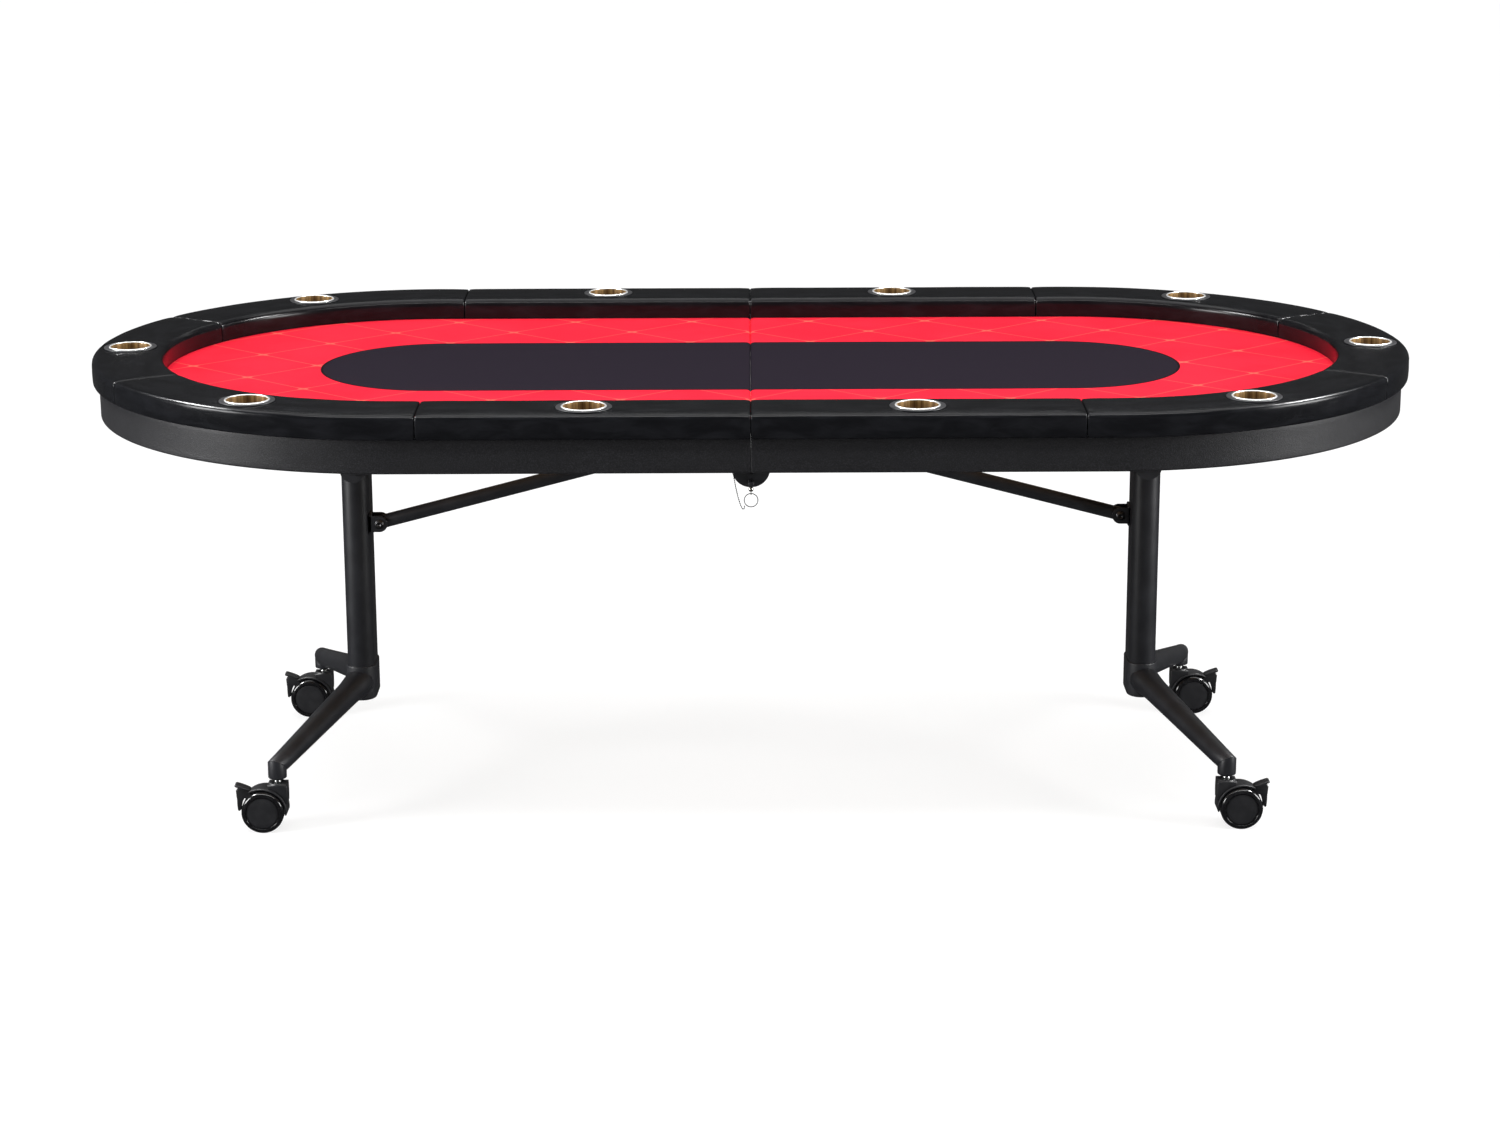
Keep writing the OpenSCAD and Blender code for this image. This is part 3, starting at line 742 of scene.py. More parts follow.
class TABLE_OT_stage(bpy.types.Operator):
    """Camera, pale floor and soft studio light"""
    bl_idname = "table.stage"
    bl_label = "Stage"

    def execute(self, context):
        scene = context.scene
        data = bpy.data.cameras.new("camera")
        camera = bpy.data.objects.new("camera", data)
        scene.collection.objects.link(camera)
        data.lens, data.sensor_width = CAMERA_LENS, 36.0
        camera.location = CAMERA_AT
        pitch = math.radians(90 - CAMERA_DOWN)
        turn = Euler((pitch, 0, 0)).to_matrix() @ Euler((0, 0, CAMERA_ROLL)).to_matrix()
        camera.rotation_euler = turn.to_euler()
        scene.camera = camera
        scene.view_settings.view_transform = "Standard"
        world = bpy.data.worlds.new("studio")
        scene.world = world
        world.use_nodes = True
        tree = world.node_tree
        back = tree.nodes["Background"]
        seen = tree.nodes.new("ShaderNodeLightPath")
        level = tree.nodes.new("ShaderNodeMapRange")
        level.inputs["To Min"].default_value = 0.05
        level.inputs["To Max"].default_value = 1.0
        tree.links.new(seen.outputs["Is Camera Ray"], level.inputs["Value"])
        tree.links.new(level.outputs[0], back.inputs["Strength"])
        back.inputs["Color"].default_value = (1, 1, 1, 1)
        reach = 40.0
        square = np.array([[-reach, -reach, 0], [reach, -reach, 0], [reach, reach, 0], [-reach, reach, 0]])
        floor = loft("floor", np.array([square - [0, 0, 4 * MM], square]))
        f = Finish("pale_floor")
        dust = f.noise(f.spot(), 3.0, 4.0)
        tint = f.blend(dust.step(0.3, 0.7), (0.24, 0.24, 0.24), (0.25, 0.25, 0.25))
        dress(floor, f.surface(Base_Color=tint, Roughness=0.9, Specular_IOR_Level=0.0,
                               Emission_Color=(1, 1, 1), Emission_Strength=0.80))
        floor.visible_glossy = False
        sky = bpy.data.lights.new("soft_sky", "SUN")
        sky.energy, sky.angle = 2.6, math.radians(70)
        lamp = bpy.data.objects.new("soft_sky", sky)
        scene.collection.objects.link(lamp)
        lamp.rotation_euler = (math.radians(-8), 0, 0)
        add_light("left_window", (-4.2, -1.6, 1.5), (-0.9, 0, 0.72), (1.4, 1.6), 210)
        add_light("right_window", (4.2, -1.2, 1.5), (0.9, 0, 0.72), (1.4, 1.6), 175)
        add_light("edge_strip", (0, -1.6, 3.2), (0, -0.5, 0.8), (4.4, 0.35), 60)
        add_light("rear_strip", (0, 3.4, 2.6), (0, 0.3, 0.8), (3.6, 0.25), 3)
        for end, name in ((-1, "left_glint"), (1, "right_glint")):
            glint = add_light(name, (end * 2.9, 0.2, 2.9), (end * 0.8, -0.45, 0.8), (1.0, 0.5), 200)
            glint.visible_diffuse = False
        return {"FINISHED"}


# ---------------------------------------------------------------- upholstery
def cup_centres(side_name):
    """Where a half's five cups stand, from the CAD cup mounts."""
    mounts = {m["name"]: m["pos_m"] for m in frame["record"]["mounts"]}
    return {k: np.array(mounts[f"cup_{side_name}_{k}"][:2]) for k in SEGMENTS}


def segment_runs():
    """The stretch of the track that each of a half's five rail segments takes."""
    g = SEAM_GAP / 2
    first = END_X + RAIL_MID * (math.pi / 2 - SEAM_ARC)
    second = END_X + RAIL_MID * (math.pi / 2 + SEAM_ARC)
    marks = [SEAM - g, SEAM_X + g, first, second, TRACK_LEN - SEAM_X - g, TRACK_LEN - SEAM + g]
    return {k: (marks[i] + g, marks[i + 1] - g) for i, k in enumerate(SEGMENTS)}


def rail_surface(name, side, s0, s1, cup, seed):
    """One padded rail segment: a rounded section carried along the track.

    The surface moves along its normals by a crown of (1 - d^4) across the top, a pull of
    exp(-e / 9 mm) towards each seam, a ring-shaped dip under the cup's flange with fading
    radial gathers, and value noise stretched along the rail.
    """
    size = shape()
    edge, step = 3.2 * MM, 3.4 * MM
    # In mm: the bulge of the sides, and the depth and reach of the pull and the tucks at each seam.
    side_bulge, seam_pull, seam_reach, tuck_depth, tuck_reach = 0.8, 1.3, 9, 0.45, 13
    # In mm: the radius, depth and fade of the dip and of the gathers round a cup's flange.
    dip_r, dip_depth, dip_fade = 54, 1.3, 10
    gather_r, gather_depth, gather_fade, gather_count = 55, 0.16, 16, 11
    s, inset = stations(s0, s1, step, edge)
    h = RAIL_TOP - RAIL_LOW - size.crown
    round_out, round_in = size.outer_round, size.inner_round
    section, normal = rounded_box(RAIL_W, h, (round_out, round_in, 4 * MM, 4 * MM), step)
    r = RAIL_MID + section[:, 0]
    z = RAIL_LOW + h / 2 + section[:, 1]
    across = section[:, 0] / (RAIL_W / 2)
    topness = np.clip(normal[:, 1], 0, 1)
    facing = np.abs(normal[:, 0])
    girth = girth_of(section)
    e = np.minimum(s - s0, s1 - s)[:, None]
    flat = along_track(s, r[None] + 0 * s[:, None], z[None] + 0 * s[:, None])
    flat[..., 0] *= side
    rho = np.hypot(flat[..., 0] - cup[0], flat[..., 1] - cup[1])
    phi = np.arctan2(flat[..., 1] - cup[1], flat[..., 0] - cup[0])
    push = topness * size.crown * (1 - across ** 4)
    push = push + facing * side_bulge * MM * (1 - (section[:, 1] / (h / 2)) ** 2)
    push = push - np.exp(-e / (seam_reach * MM)) * seam_pull * MM * (0.35 + 0.65 * topness)
    tuck = lattice_noise(girth[:-1][None] / (7 * MM), s[:, None] / (14 * MM), seed + 5)
    push = push + np.exp(-e / (tuck_reach * MM)) * tuck_depth * MM * tuck * (e > 0.2 * edge)
    dip = np.clip((dip_r * MM - rho) / (dip_fade * MM), 0, 1)
    push = push - topness * dip_depth * MM * dip * dip * (3 - 2 * dip)
    gather = np.clip(1 - np.abs(rho - gather_r * MM) / (gather_fade * MM), 0, 1)
    gather = gather * np.cos(gather_count * phi + seed)
    push = push + topness * gather_depth * MM * gather
    streak = lattice_noise(s[:, None] / (75 * MM), girth[:-1][None] / (11 * MM), seed)
    streak = streak + 0.6 * lattice_noise(s[:, None] / (28 * MM), girth[:-1][None] / (8 * MM), seed + 1)
    push = push + size.crease * streak * (normal[:, 1] > -0.5)
    push = push * (normal[:, 1] > -0.9) - inset[:, None]
    return track_shell(name, side, s, r, z, normal, push, girth)


def cup_cutter(cup):
    """A plain upright rod a little wider than a cup's body."""
    reach = 36.6 * MM
    low, high = RAIL_LOW - 20 * MM, RAIL_TOP + 20 * MM
    profile = [(0, low), (reach, low), (reach, high), (0, high)]
    return lathe("cutter", profile, (cup[0], cup[1], 0), count=72)


class TABLE_OT_rails(bpy.types.Operator):
    """The ten padded rail segments"""
    bl_idname = "table.rails"
    bl_label = "Padded rails"

    def execute(self, context):
        for i, (name, side) in enumerate(SIDES.items()):
            cups = cup_centres(name)
            for k, (key, (s0, s1)) in enumerate(segment_runs().items()):
                piece = rail_surface(f"rail_pad_{name}_{key}", side, s0, s1, cups[key], 40 + 10 * i + k)
                cut(piece, cup_cutter(cups[key]))
                place(dress(piece, rail_vinyl()), f"{name}_top", "rail_vinyl", f"rail_{name}_{key}")
        return {"FINISHED"}


class TABLE_OT_aprons(bpy.types.Operator):
    """The pebbled aprons under the rail"""
    bl_idname = "table.aprons"
    bl_label = "Aprons"

    def execute(self, context):
        for i, (name, side) in enumerate(SIDES.items()):
            s, inset = stations(SEAM, TRACK_LEN - SEAM, 6 * MM, 2.0 * MM)
            w, h = 12 * MM, RAIL_LOW - HINGE_Z - 0.3 * MM
            section, normal = rounded_box(w, h, (3 * MM, 1 * MM, 1 * MM, 3 * MM), 5 * MM)
            r = APRON_R - w / 2 + section[:, 0]
            z = HINGE_Z + h / 2 + section[:, 1]
            girth = girth_of(section)
            soft = lattice_noise(s[:, None] / (90 * MM), girth[:-1][None] / (24 * MM), 7 + i)
            push = 0.25 * MM * soft * (normal[:, 0] > 0.5) - inset[:, None]
            piece = track_shell(f"apron_cover_{name}", side, s, r, z, normal, push, girth)
            place(dress(piece, apron_vinyl()), f"{name}_top", "apron_vinyl", f"apron_{name}")
        return {"FINISHED"}


class TABLE_OT_cloth(bpy.types.Operator):
    """The playing cloth over its foam, rolled down at the centre seam"""
    bl_idname = "table.cloth"
    bl_label = "Playing cloth"

    def execute(self, context):
        size = shape()
        for i, (name, side) in enumerate(SIDES.items()):
            roll = np.radians(np.linspace(0, 90, 9))
            x_roll = SEAM + size.cloth_roll * (1 - np.cos(roll))
            z_roll = CLOTH_LOW + 0.3 * MM + (CLOTH_TOP - CLOTH_LOW - 0.3 * MM) * np.sin(roll)
            x_mid = np.linspace(SEAM + size.cloth_roll, END_X, 90)[1:]
            x_end = END_X + CLOTH_R * np.sin(np.radians(np.linspace(0, 90, 60)))[1:]
            x = np.r_[x_roll, x_mid, x_end]
            z_top = np.r_[z_roll, np.full(len(x_mid) + len(x_end), CLOTH_TOP)]
            half = np.where(x <= END_X, CLOTH_R, np.sqrt(np.clip(CLOTH_R ** 2 - (x - END_X) ** 2, 0, None)))
            half = np.maximum(half, 0.2 * MM)
            v = np.linspace(-1, 1, 121)
            top = np.stack(np.broadcast_arrays(x[:, None], half[:, None] * v, z_top[:, None]), axis=-1).copy()
            ripple = lattice_noise(top[..., 0] / 0.11, top[..., 1] / 0.13, 21 + i)
            top[..., 2] += 0.12 * MM * ripple * (z_top[:, None] >= CLOTH_TOP)
            low = top[:, ::-1].copy()
            low[..., 2] = CLOTH_LOW
            piece = loft(f"cloth_{name}", flip(np.concatenate([top, low], axis=1), side))
            place(dress(piece, playing_cloth()), f"{name}_top", "felt", f"playfield_{name}")
        return {"FINISHED"}


class TABLE_OT_cups(bpy.types.Operator):
    """Drop-in cup holders with a black flange, a bright lip and a drawn well"""
    bl_idname = "table.cups"
    bl_label = "Cup holders"

    def execute(self, context):
        top = RAIL_TOP
        floor = corner("cup_holders_right", 0)[2]
        well = 35 * MM
        wall = 0.8 * MM
        outside = [(0, floor), (well - 5 * MM, floor),
                   *arc(well - 5 * MM, floor + 5 * MM, 5 * MM + wall, -80, 0, 6)]
        under = [(well + wall, top - 1.4 * MM), (46.6 * MM, top - 0.7 * MM)]
        rim = arc(46.2 * MM, top + 0.2 * MM, 0.8 * MM, -50, 80, 6)
        dome = [(44 * MM, top + 1.1 * MM), (41 * MM, top + 1.3 * MM), (38.2 * MM, top + 1.2 * MM)]
        bead = arc(36.5 * MM, top + 1.35 * MM, 1.5 * MM, 0, 180, 9)
        inside = [(well - 0.15 * MM, top - 4 * MM), (well - 0.5 * MM, top - 22 * MM),
                  (well - 1.2 * MM, floor + 7 * MM)]
        toe = arc(well - 6.2 * MM, floor + 6 * MM, 5 * MM, 0, -90, 7)
        bottom = [(12 * MM, floor + 0.9 * MM), (0, floor + 0.9 * MM)]
        groups = [(outside, 3), (under, 1), (rim, 1), (dome, 1), (bead, 0),
                  (inside, 2), (toe, 2), (bottom, 2)]
        profile = np.vstack([np.asarray(g, float) for g, _ in groups])
        band = np.concatenate([np.full(len(g), k) for g, k in groups])[1:]
        for name in SIDES:
            for key, centre in cup_centres(name).items():
                cup = lathe(f"cup_{name}_{key}", profile, (*centre, 0), count=96, indices=band)
                dress(cup, cup_chrome(), cup_flange(), cup_well(), zinc())
                place(cup, f"{name}_top", "cup_metal")
            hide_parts(f"cup_holders_{name}")
        return {"FINISHED"}


# ---------------------------------------------------------------- legs
def stadium_ring(t, w, inset):
    """A flat-sided oval t by w, pulled in by inset, as (x, y) points."""
    n = arc(0, 0, 1, 0, 180, 32)
    top = arc(0, w / 2 - t / 2, t / 2, 0, 180, 32)
    return np.vstack([top, -top]) - np.vstack([n, -n]) * inset


def oval_post(name, centre, t, w, levels):
    """An upright oval bar; levels are (height, inset) pairs."""
    rings = []
    for z, inset in levels:
        p = stadium_ring(t, w, inset)
        rings.append(np.column_stack([centre[0] + p[:, 0], centre[1] + p[:, 1], np.full(len(p), z)]))
    return loft(name, np.array(rings))


def edge_levels(z0, z1, low, high):
    """Heights and insets of a bar with rounded lower and upper edges."""
    a = np.radians(np.linspace(0, 90, 6))
    start = [(z0 + low * (1 - math.sin(q)), low * (1 - math.cos(q))) for q in a[::-1]]
    stop = [(z1 - high * (1 - math.sin(q)), high * (1 - math.cos(q))) for q in a]
    return start + stop


def foot_shell(name, side, front):
    """A foot: a tapering tube that flares into the socket, meets a mitre, and ends in an upright cap.

    The radius along the tube is a straight taper plus a fillet of exp(-(d / 24 mm)^2) at the socket.
    """
    root_r, end_r, cap_r, low = 23.5, 17.0, 16.4, 96 * MM
    stems_low = corner("castor_stems_right", 0)
    a = np.array([middle("post_right")[0] + 6 * MM, -44 * MM, 178 * MM])
    b = np.array([middle("castor_stems_right")[0], stems_low[1] + 8 * MM, 117 * MM])
    d = unit(b - a)
    length = np.linalg.norm(b - a)
    u = unit(np.cross(d, [0, 0, 1.0]))
    v = np.cross(u, d)
    count = 48
    ang = full_turn(count)
    dist = np.r_[np.linspace(-12 * MM, 30 * MM, 16), np.linspace(36 * MM, length - 26 * MM, 30)]
    radius = root_r * MM + (end_r - root_r) * MM * np.clip(dist / length, 0, 1)
    radius = radius + 2.4 * MM * np.exp(-(np.clip(dist, 0, None) / (24 * MM)) ** 2)
    spokes = u * np.cos(ang)[:, None] + v * np.sin(ang)[:, None]
    body = a + d * dist[:, None, None] + spokes * radius[:, None, None]
    drop = np.array([0, 0, -1.0])
    mitre = unit(d + drop)
    lines = b + spokes * (end_r * MM)
    reach = ((b - lines) @ mitre) / (d @ mitre)
    joint = lines + d * reach[:, None]
    flat = unit(joint[:, :2] - b[:2])
    cap = np.column_stack([b[:2] + flat * cap_r * MM, joint[:, 2]])
    rings = [*body, joint - d * 1.2 * MM, joint - d * 0.5 * MM - 0.35 * MM * spokes,
             cap + drop * 0.3 * MM - np.column_stack([flat * 0.35 * MM, 0 * ang]), cap + drop * 1.1 * MM]
    hem = [(6, 0), (2, 0), (0.9, 0.25), (0.2, 0.9), (0, 2)]
    for z, inset in [(low + up * MM, back * MM) for up, back in hem]:
        rings.append(np.column_stack([b[:2] + flat * (cap_r * MM - inset), np.full(count, z)]))
    rings = np.array(rings)
    rings[..., 1] *= -front
    return loft(name, flip(rings, side))


class TABLE_OT_legs(bpy.types.Operator):
    """Oval posts, cast sockets and splayed feet"""
    bl_idname = "table.legs"
    bl_label = "Legs"

    def execute(self, context):
        for name, side in SIDES.items():
            centre = middle(f"post_{name}")
            for piece, node, skin, edges in (("post_tube", "post", powder_coat, (1 * MM, 3 * MM)),
                                             ("socket", "base_socket", black_casting, (6 * MM, 2.2 * MM))):
                low, high = corner(f"{node}_{name}", 0), corner(f"{node}_{name}", 1)
                t, w = (high - low)[:2]
                bar = oval_post(f"{piece}_{name}", centre, t, w, edge_levels(low[2], high[2], *edges))
                place(dress(bar, skin()), f"{name}_leg", "black_steel", f"{node}_{name}")
            for key, front in (("front", -1.0), ("rear", 1.0)):
                foot = foot_shell(f"foot_{name}_{key}", side, front)
                place(dress(foot, powder_coat()), f"{name}_leg", "black_steel")
                if key == "front":
                    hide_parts(f"feet_{name}")
            for key, (cx, cy) in CASTORS.items():
                if (cx < 0) != (side < 0):
                    continue
                where = joint_at(f"castor_{key}_swivel") * [1, 1, 0]
                stem = [(0, 66), (4.4, 66), (5, 67), (5, 84.5), (6.2, 85), (6.2, 87), (5.4, 87.6),
                        (6.4, 88.4), (6.4, 90.6), (5.2, 91.4), (5.2, 92.2), (7.6, 92.6), (8, 93.2),
                        (8, 95.4), (5, 95.9), (5, 111), (4, 112), (0, 112)]
                sleeve_z = 92
                band = [int(z >= sleeve_z) for _, z in stem][1:]
                pin = lathe(f"stem_{key}", np.array(stem) * MM, where, count=32, indices=band)
                place(dress(pin, zinc(), satin_nylon()), f"{name}_leg", "zinc")
                if cy < 0:
                    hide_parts(f"castor_stems_{name}")
        return {"FINISHED"}


# ---------------------------------------------------------------- braces
def bolt(name, centre, r, h, y_dir):
    """A low button head with a chamfered washer, facing along y."""
    profile = np.array([(0, 0), (r * 1.18, 0), (r * 1.25, h * 0.12), (r * 1.25, h * 0.3), (r, h * 0.34),
                        (r * 0.97, h * 0.7), (r * 0.8, h * 0.95), (r * 0.42, h),
                        (r * 0.38, h * 0.6), (0, h * 0.6)])
    profile[:, 1] *= y_dir
    return lathe(name, profile, centre, axis="Y", count=32)


class TABLE_OT_braces(bpy.types.Operator):
    """Diagonal braces with their clevis ears and bolts"""
    bl_idname = "table.braces"
    bl_label = "Braces"

    def execute(self, context):
        for name, side in SIDES.items():
            pivot = joint_at(f"{name}_brace_swing")
            low, high = corner(f"brace_{name}", 0), corner(f"brace_{name}", 1)
            far = np.array([(low if side > 0 else high)[0] + side * 13 * MM, pivot[1], high[2] - 13 * MM])
            d = unit(far - pivot)
            length = np.linalg.norm(far - pivot)
            t = np.r_[np.array([-12.4, -11.5, -9, -5, 0]) * MM, np.linspace(8 * MM, length - 8 * MM, 40),
                      length + np.array([0, 5, 9, 11.5, 12.4]) * MM]
            over = np.maximum(np.maximum(-t, t - length), 0)
            r = np.sqrt(np.clip((12.5 * MM) ** 2 - over ** 2, (0.6 * MM) ** 2, None))
            strut = tube(f"brace_tube_{name}", pivot + d * t[:, None], r, 36)
            barrel = np.array([(0, -17.4), (3.4, -17.4), (4, -16.8), (4, 16.8), (3.4, 17.4), (0, 17.4)]) * MM
            pin = lathe(f"brace_pin_{name}", barrel, far, axis="Y", count=24)
            strut = dress(strut, powder_coat(), bolt_steel())
            strut = join(f"brace_tube_{name}", [strut, dress(pin, bolt_steel())])
            place(strut, f"{name}_brace", "black_steel", f"brace_{name}")
            face = abs(corner(f"post_{name}", int(side < 0))[0])
            ears = []
            bx, bz = abs(pivot[0]), pivot[2]
            for k in (-1, 1):
                edge = face + 3 * MM
                outline = np.vstack([arc(bx, bz, 15 * MM, 90, 270, 25),
                                     [(edge, bz + rise * MM) for rise in (-15, -5, 5, 15)]])
                outline[:, 0] *= side
                ears.append(plate(f"ear_{name}_{k}", outline, 4 * MM, pivot[1] + k * 15 * MM, 0.7 * MM))
            back = rounded_box(34 * MM, 40 * MM, (5 * MM,) * 4, 6 * MM)[0]
            rings = [np.column_stack([np.full(len(back), side * x), pivot[1] + back[:, 0] * f,
                                      bz + back[:, 1] * f])
                     for x, f in ((face + 2.4 * MM, 1.0), (face - 2.6 * MM, 1.0), (face - 3.2 * MM, 0.97))]
            ears.append(loft(f"ear_base_{name}", np.array(rings)))
            clevis = join(f"clevis_{name}", ears, powder_coat(), bolt_steel())
            place(clevis, f"{name}_leg", "black_steel", f"brace_clevis_{name}")
            bolts = [bolt(f"brace_bolt_{name}_{k}", pivot + [0, k * 17.1 * MM, 0], 6.8 * MM, 4 * MM, k)
                     for k in (-1, 1)]
            bolts.append(rod(f"brace_shank_{name}", 4.9 * MM, 17 * MM, pivot))
            place(join(f"brace_bolts_{name}", bolts, bolt_steel()), f"{name}_leg", "bolt_steel")
        return {"FINISHED"}


# ---------------------------------------------------------------- centre hinge and lock
class TABLE_OT_lock(bpy.types.Operator):
    """Hinge bolt heads and nuts, the lock pin with its ring, and the bead chain"""
    bl_idname = "table.lock"
    bl_label = "Hinge and lock"

    def execute(self, context):
        heads = []
        for k in (-1, 1):
            seat = np.array([0, k * (LUG_Y + 0.1 * MM), HINGE_Z])
            heads.append(bolt(f"hinge_bolt_{k}", seat, 7 * MM, 3.3 * MM, k))
            nut = np.array([(0, 0), (5, 0), (5, 10), (8, 10),
                            (8.5, 10.6), (8.5, 15.4), (8, 16), (0, 16)]) * MM
            nut[:, 1] *= -k
            heads.append(lathe(f"hinge_nut_{k}", nut, np.array([0, k * LUG_Y, HINGE_Z]), axis="Y", count=24))
        place(join("hinge_bolt_heads", heads, bolt_steel()), "left_top", "bolt_steel", "hinge_bolts")
        high = corner("lock_pin", 1)
        pin_z, tip = high[2] - 5 * MM, high[1]
        shaft = np.array([(0, 0), (3, 0), (4, 1.2), (4, 14.2), (4.6, 14.8), (5, 15.6), (5, 23.4), (4.6, 24.5),
                          (3.6, 25), (0, 25.2)]) * MM
        shaft[:, 1] *= -1
        pin = lathe("lock_pin_shaft", shaft, (0, tip, pin_z), axis="Y", count=40)
        eye_y = tip - 20 * MM
        eye_z = pin_z - 16.5 * MM

        def torus(name, centre, rx, rz, wire, axis):
            """A ring of round wire; axis 0 faces X and axis 1 faces Y."""
            u, v = np.meshgrid(full_turn(40), full_turn(12), indexing="ij")
            along = (rx + wire * np.cos(v)) * np.cos(u)
            up = (rz + wire * np.cos(v)) * np.sin(u)
            side_way = wire * np.sin(v)
            parts = (along, side_way, up) if axis == 1 else (side_way, along, up)
            rings = np.stack(parts, axis=-1) + np.asarray(centre)
            rings = np.concatenate([rings, rings[:1]], axis=0)
            return loft(name, rings, caps=(False, False))

        shackle = torus("pin_shackle", (0, eye_y, eye_z + 4.6 * MM), 2.4 * MM, 6.6 * MM, 0.7 * MM, 0)
        knob_at = (0, eye_y - 2 * MM, pin_z - 8.6 * MM)
        knob = lathe("pin_knob", arc(0, 0, 4.2 * MM, -90, 90, 13), knob_at, axis="Y", count=28)
        pin = join("lock_pin_body", [dress(pin, black_casting(), nickel()), dress(shackle, nickel()),
                                     dress(knob, nickel())])
        place(pin, "lock_pin", "nickel", "lock_pin")
        ring_r = 11.4 * MM
        ring = torus("pull_ring_wire", middle("pull_ring") + [0, 0.3 * MM, 0], ring_r, ring_r, 0.75 * MM, 1)
        place(dress(ring, chain_steel()), "lock_pin", "nickel_wire", "pull_ring")
        self.chain()
        return {"FINISHED"}

    def chain(self):
        """A bead chain: small balls at even steps along a smooth curve through the route, joined by wires."""
        start = np.array([0, -LUG_Y, HINGE_Z])
        route = np.array([(-30, -1.2, 4), (-29.5, -4, -4), (-28, -8, -16),
                          (-25, -11.5, -31), (-21.5, -14, -46),
                          (-17, -15.4, -60), (-14, -15.6, -65.5), (-12.2, -15.6, -66),
                          (-11.2, -15.6, -63.5), (-10.6, -15.6, -58.6)]) * MM
        seg = run_along(route)
        fine = np.linspace(0, seg[-1], 400)
        path = np.stack([np.interp(fine, seg, route[:, k]) for k in range(3)], axis=1)
        for _ in range(60):
            path[1:-1] = (path[:-2] + path[1:-1] * 2 + path[2:]) / 4
        run = run_along(path)
        pitch = 3.3 * MM
        at = np.arange(0, run[-1], pitch)
        beads = start + np.stack([np.interp(at, run, path[:, k]) for k in range(3)], axis=1)
        ball = arc(0, 0, 1.15 * MM, -90, 90, 7)
        balls = [lathe(f"bead_{i}", ball, p, count=10) for i, p in enumerate(beads)]
        link = tube("bead_wire", start + path[::6], 0.42 * MM, 6)
        chain = join("bead_chain_balls", [link] + balls, chain_steel())
        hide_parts("bead_chain")
        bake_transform(chain)


# ---------------------------------------------------------------- castors
def hub_plate(name, points, hub, sign, thickness, y, bevel):
    """A plate from an outline in mm round the wheels' hub; sign -1 turns it to the other side."""
    return plate(name, points * MM * [sign, 1] + hub[[0, 2]], thickness * MM, y, bevel * MM)


def housing_shell(name, centre, out):
    """A castor housing: collar, fender round the wheels' stem side, web between the wheels, brake tab.

    centre is the stem on the floor and out is the direction in which the wheels trail, -1 or 1.
    """
    hub = np.array([out * WHEEL_TRAIL, 0, WHEEL_R])

    def swung(part, angles, radius, y):
        """A section carried round the wheels' axle, on the stem's side."""
        x = -out * np.cos(angles)[:, None] * radius
        z = np.sin(angles)[:, None] * radius
        return loft(part, np.stack([x, y + 0 * x, z], axis=-1) + hub)

    collar = np.array([(0, 71), (15.2, 71), (16.6, 73), (17, 76), (17, 86), (16.4, 87.4), (15.2, 88),
                       (8.4, 88), (8, 87.2), (6, 86.8), (0, 86.8)]) * MM
    parts = [lathe("collar", collar, (0, 0, 0), count=48)]
    ang = np.radians(np.linspace(-9, 128, 48))
    section, _ = rounded_box(3.6 * MM, 42 * MM, (1.5 * MM,) * 4, 5 * MM)
    lean = np.clip((ang - np.radians(70)) / np.radians(58), 0, 1)
    width = 1 - 0.5 * lean ** 1.5
    ends = np.minimum(np.arange(48), np.arange(48)[::-1])
    shrink = np.where(ends == 0, 0.5, np.where(ends == 1, 0.85, 1.0))[:, None]
    rr = 40.9 * MM + section[:, 0][None] * shrink
    yy = section[:, 1][None] * width[:, None] * np.where(ends == 0, 0.96, 1.0)[:, None]
    parts.append(swung("fender", ang, rr, yy))
    outer = np.array([(9.4, 49), (43, 49), (43.5, 38), (43.5, 26), (43.1, 14)])
    shield = np.vstack([outer, arc(0, 0, 38.9, 18, 74, 16)])
    parts.append(hub_plate("shield", shield, hub, -out, 35, 0, 2.4))
    web = np.array([(0, -7), (28, -7), (29, -6), (29, 6), (28, 7), (0, 7)]) * MM
    parts.append(lathe("web", web, hub, axis="Y", count=48))
    parts.append(rod("axle", 4 * MM, 25 * MM, hub))
    hood = rounded_box(10 * MM, 13.6 * MM, (2 * MM,) * 4, 3 * MM)[0]
    parts.append(swung("hood", np.radians(np.linspace(30, 116, 30)), 34.5 * MM + hood[:, 0], hood[:, 1]))
    eye = arc(BRAKE_PIN, BRAKE_PIN, BRAKE_EYE, -30, 150, 14)
    parts.append(hub_plate("tab", np.vstack([eye, [(12, 26), (8, 20), (14, 12)]]), hub, out, 6, 0, 0.6))
    made = join(name, parts, satin_nylon())
    made.data.transform(Matrix.Translation(centre))
    return made


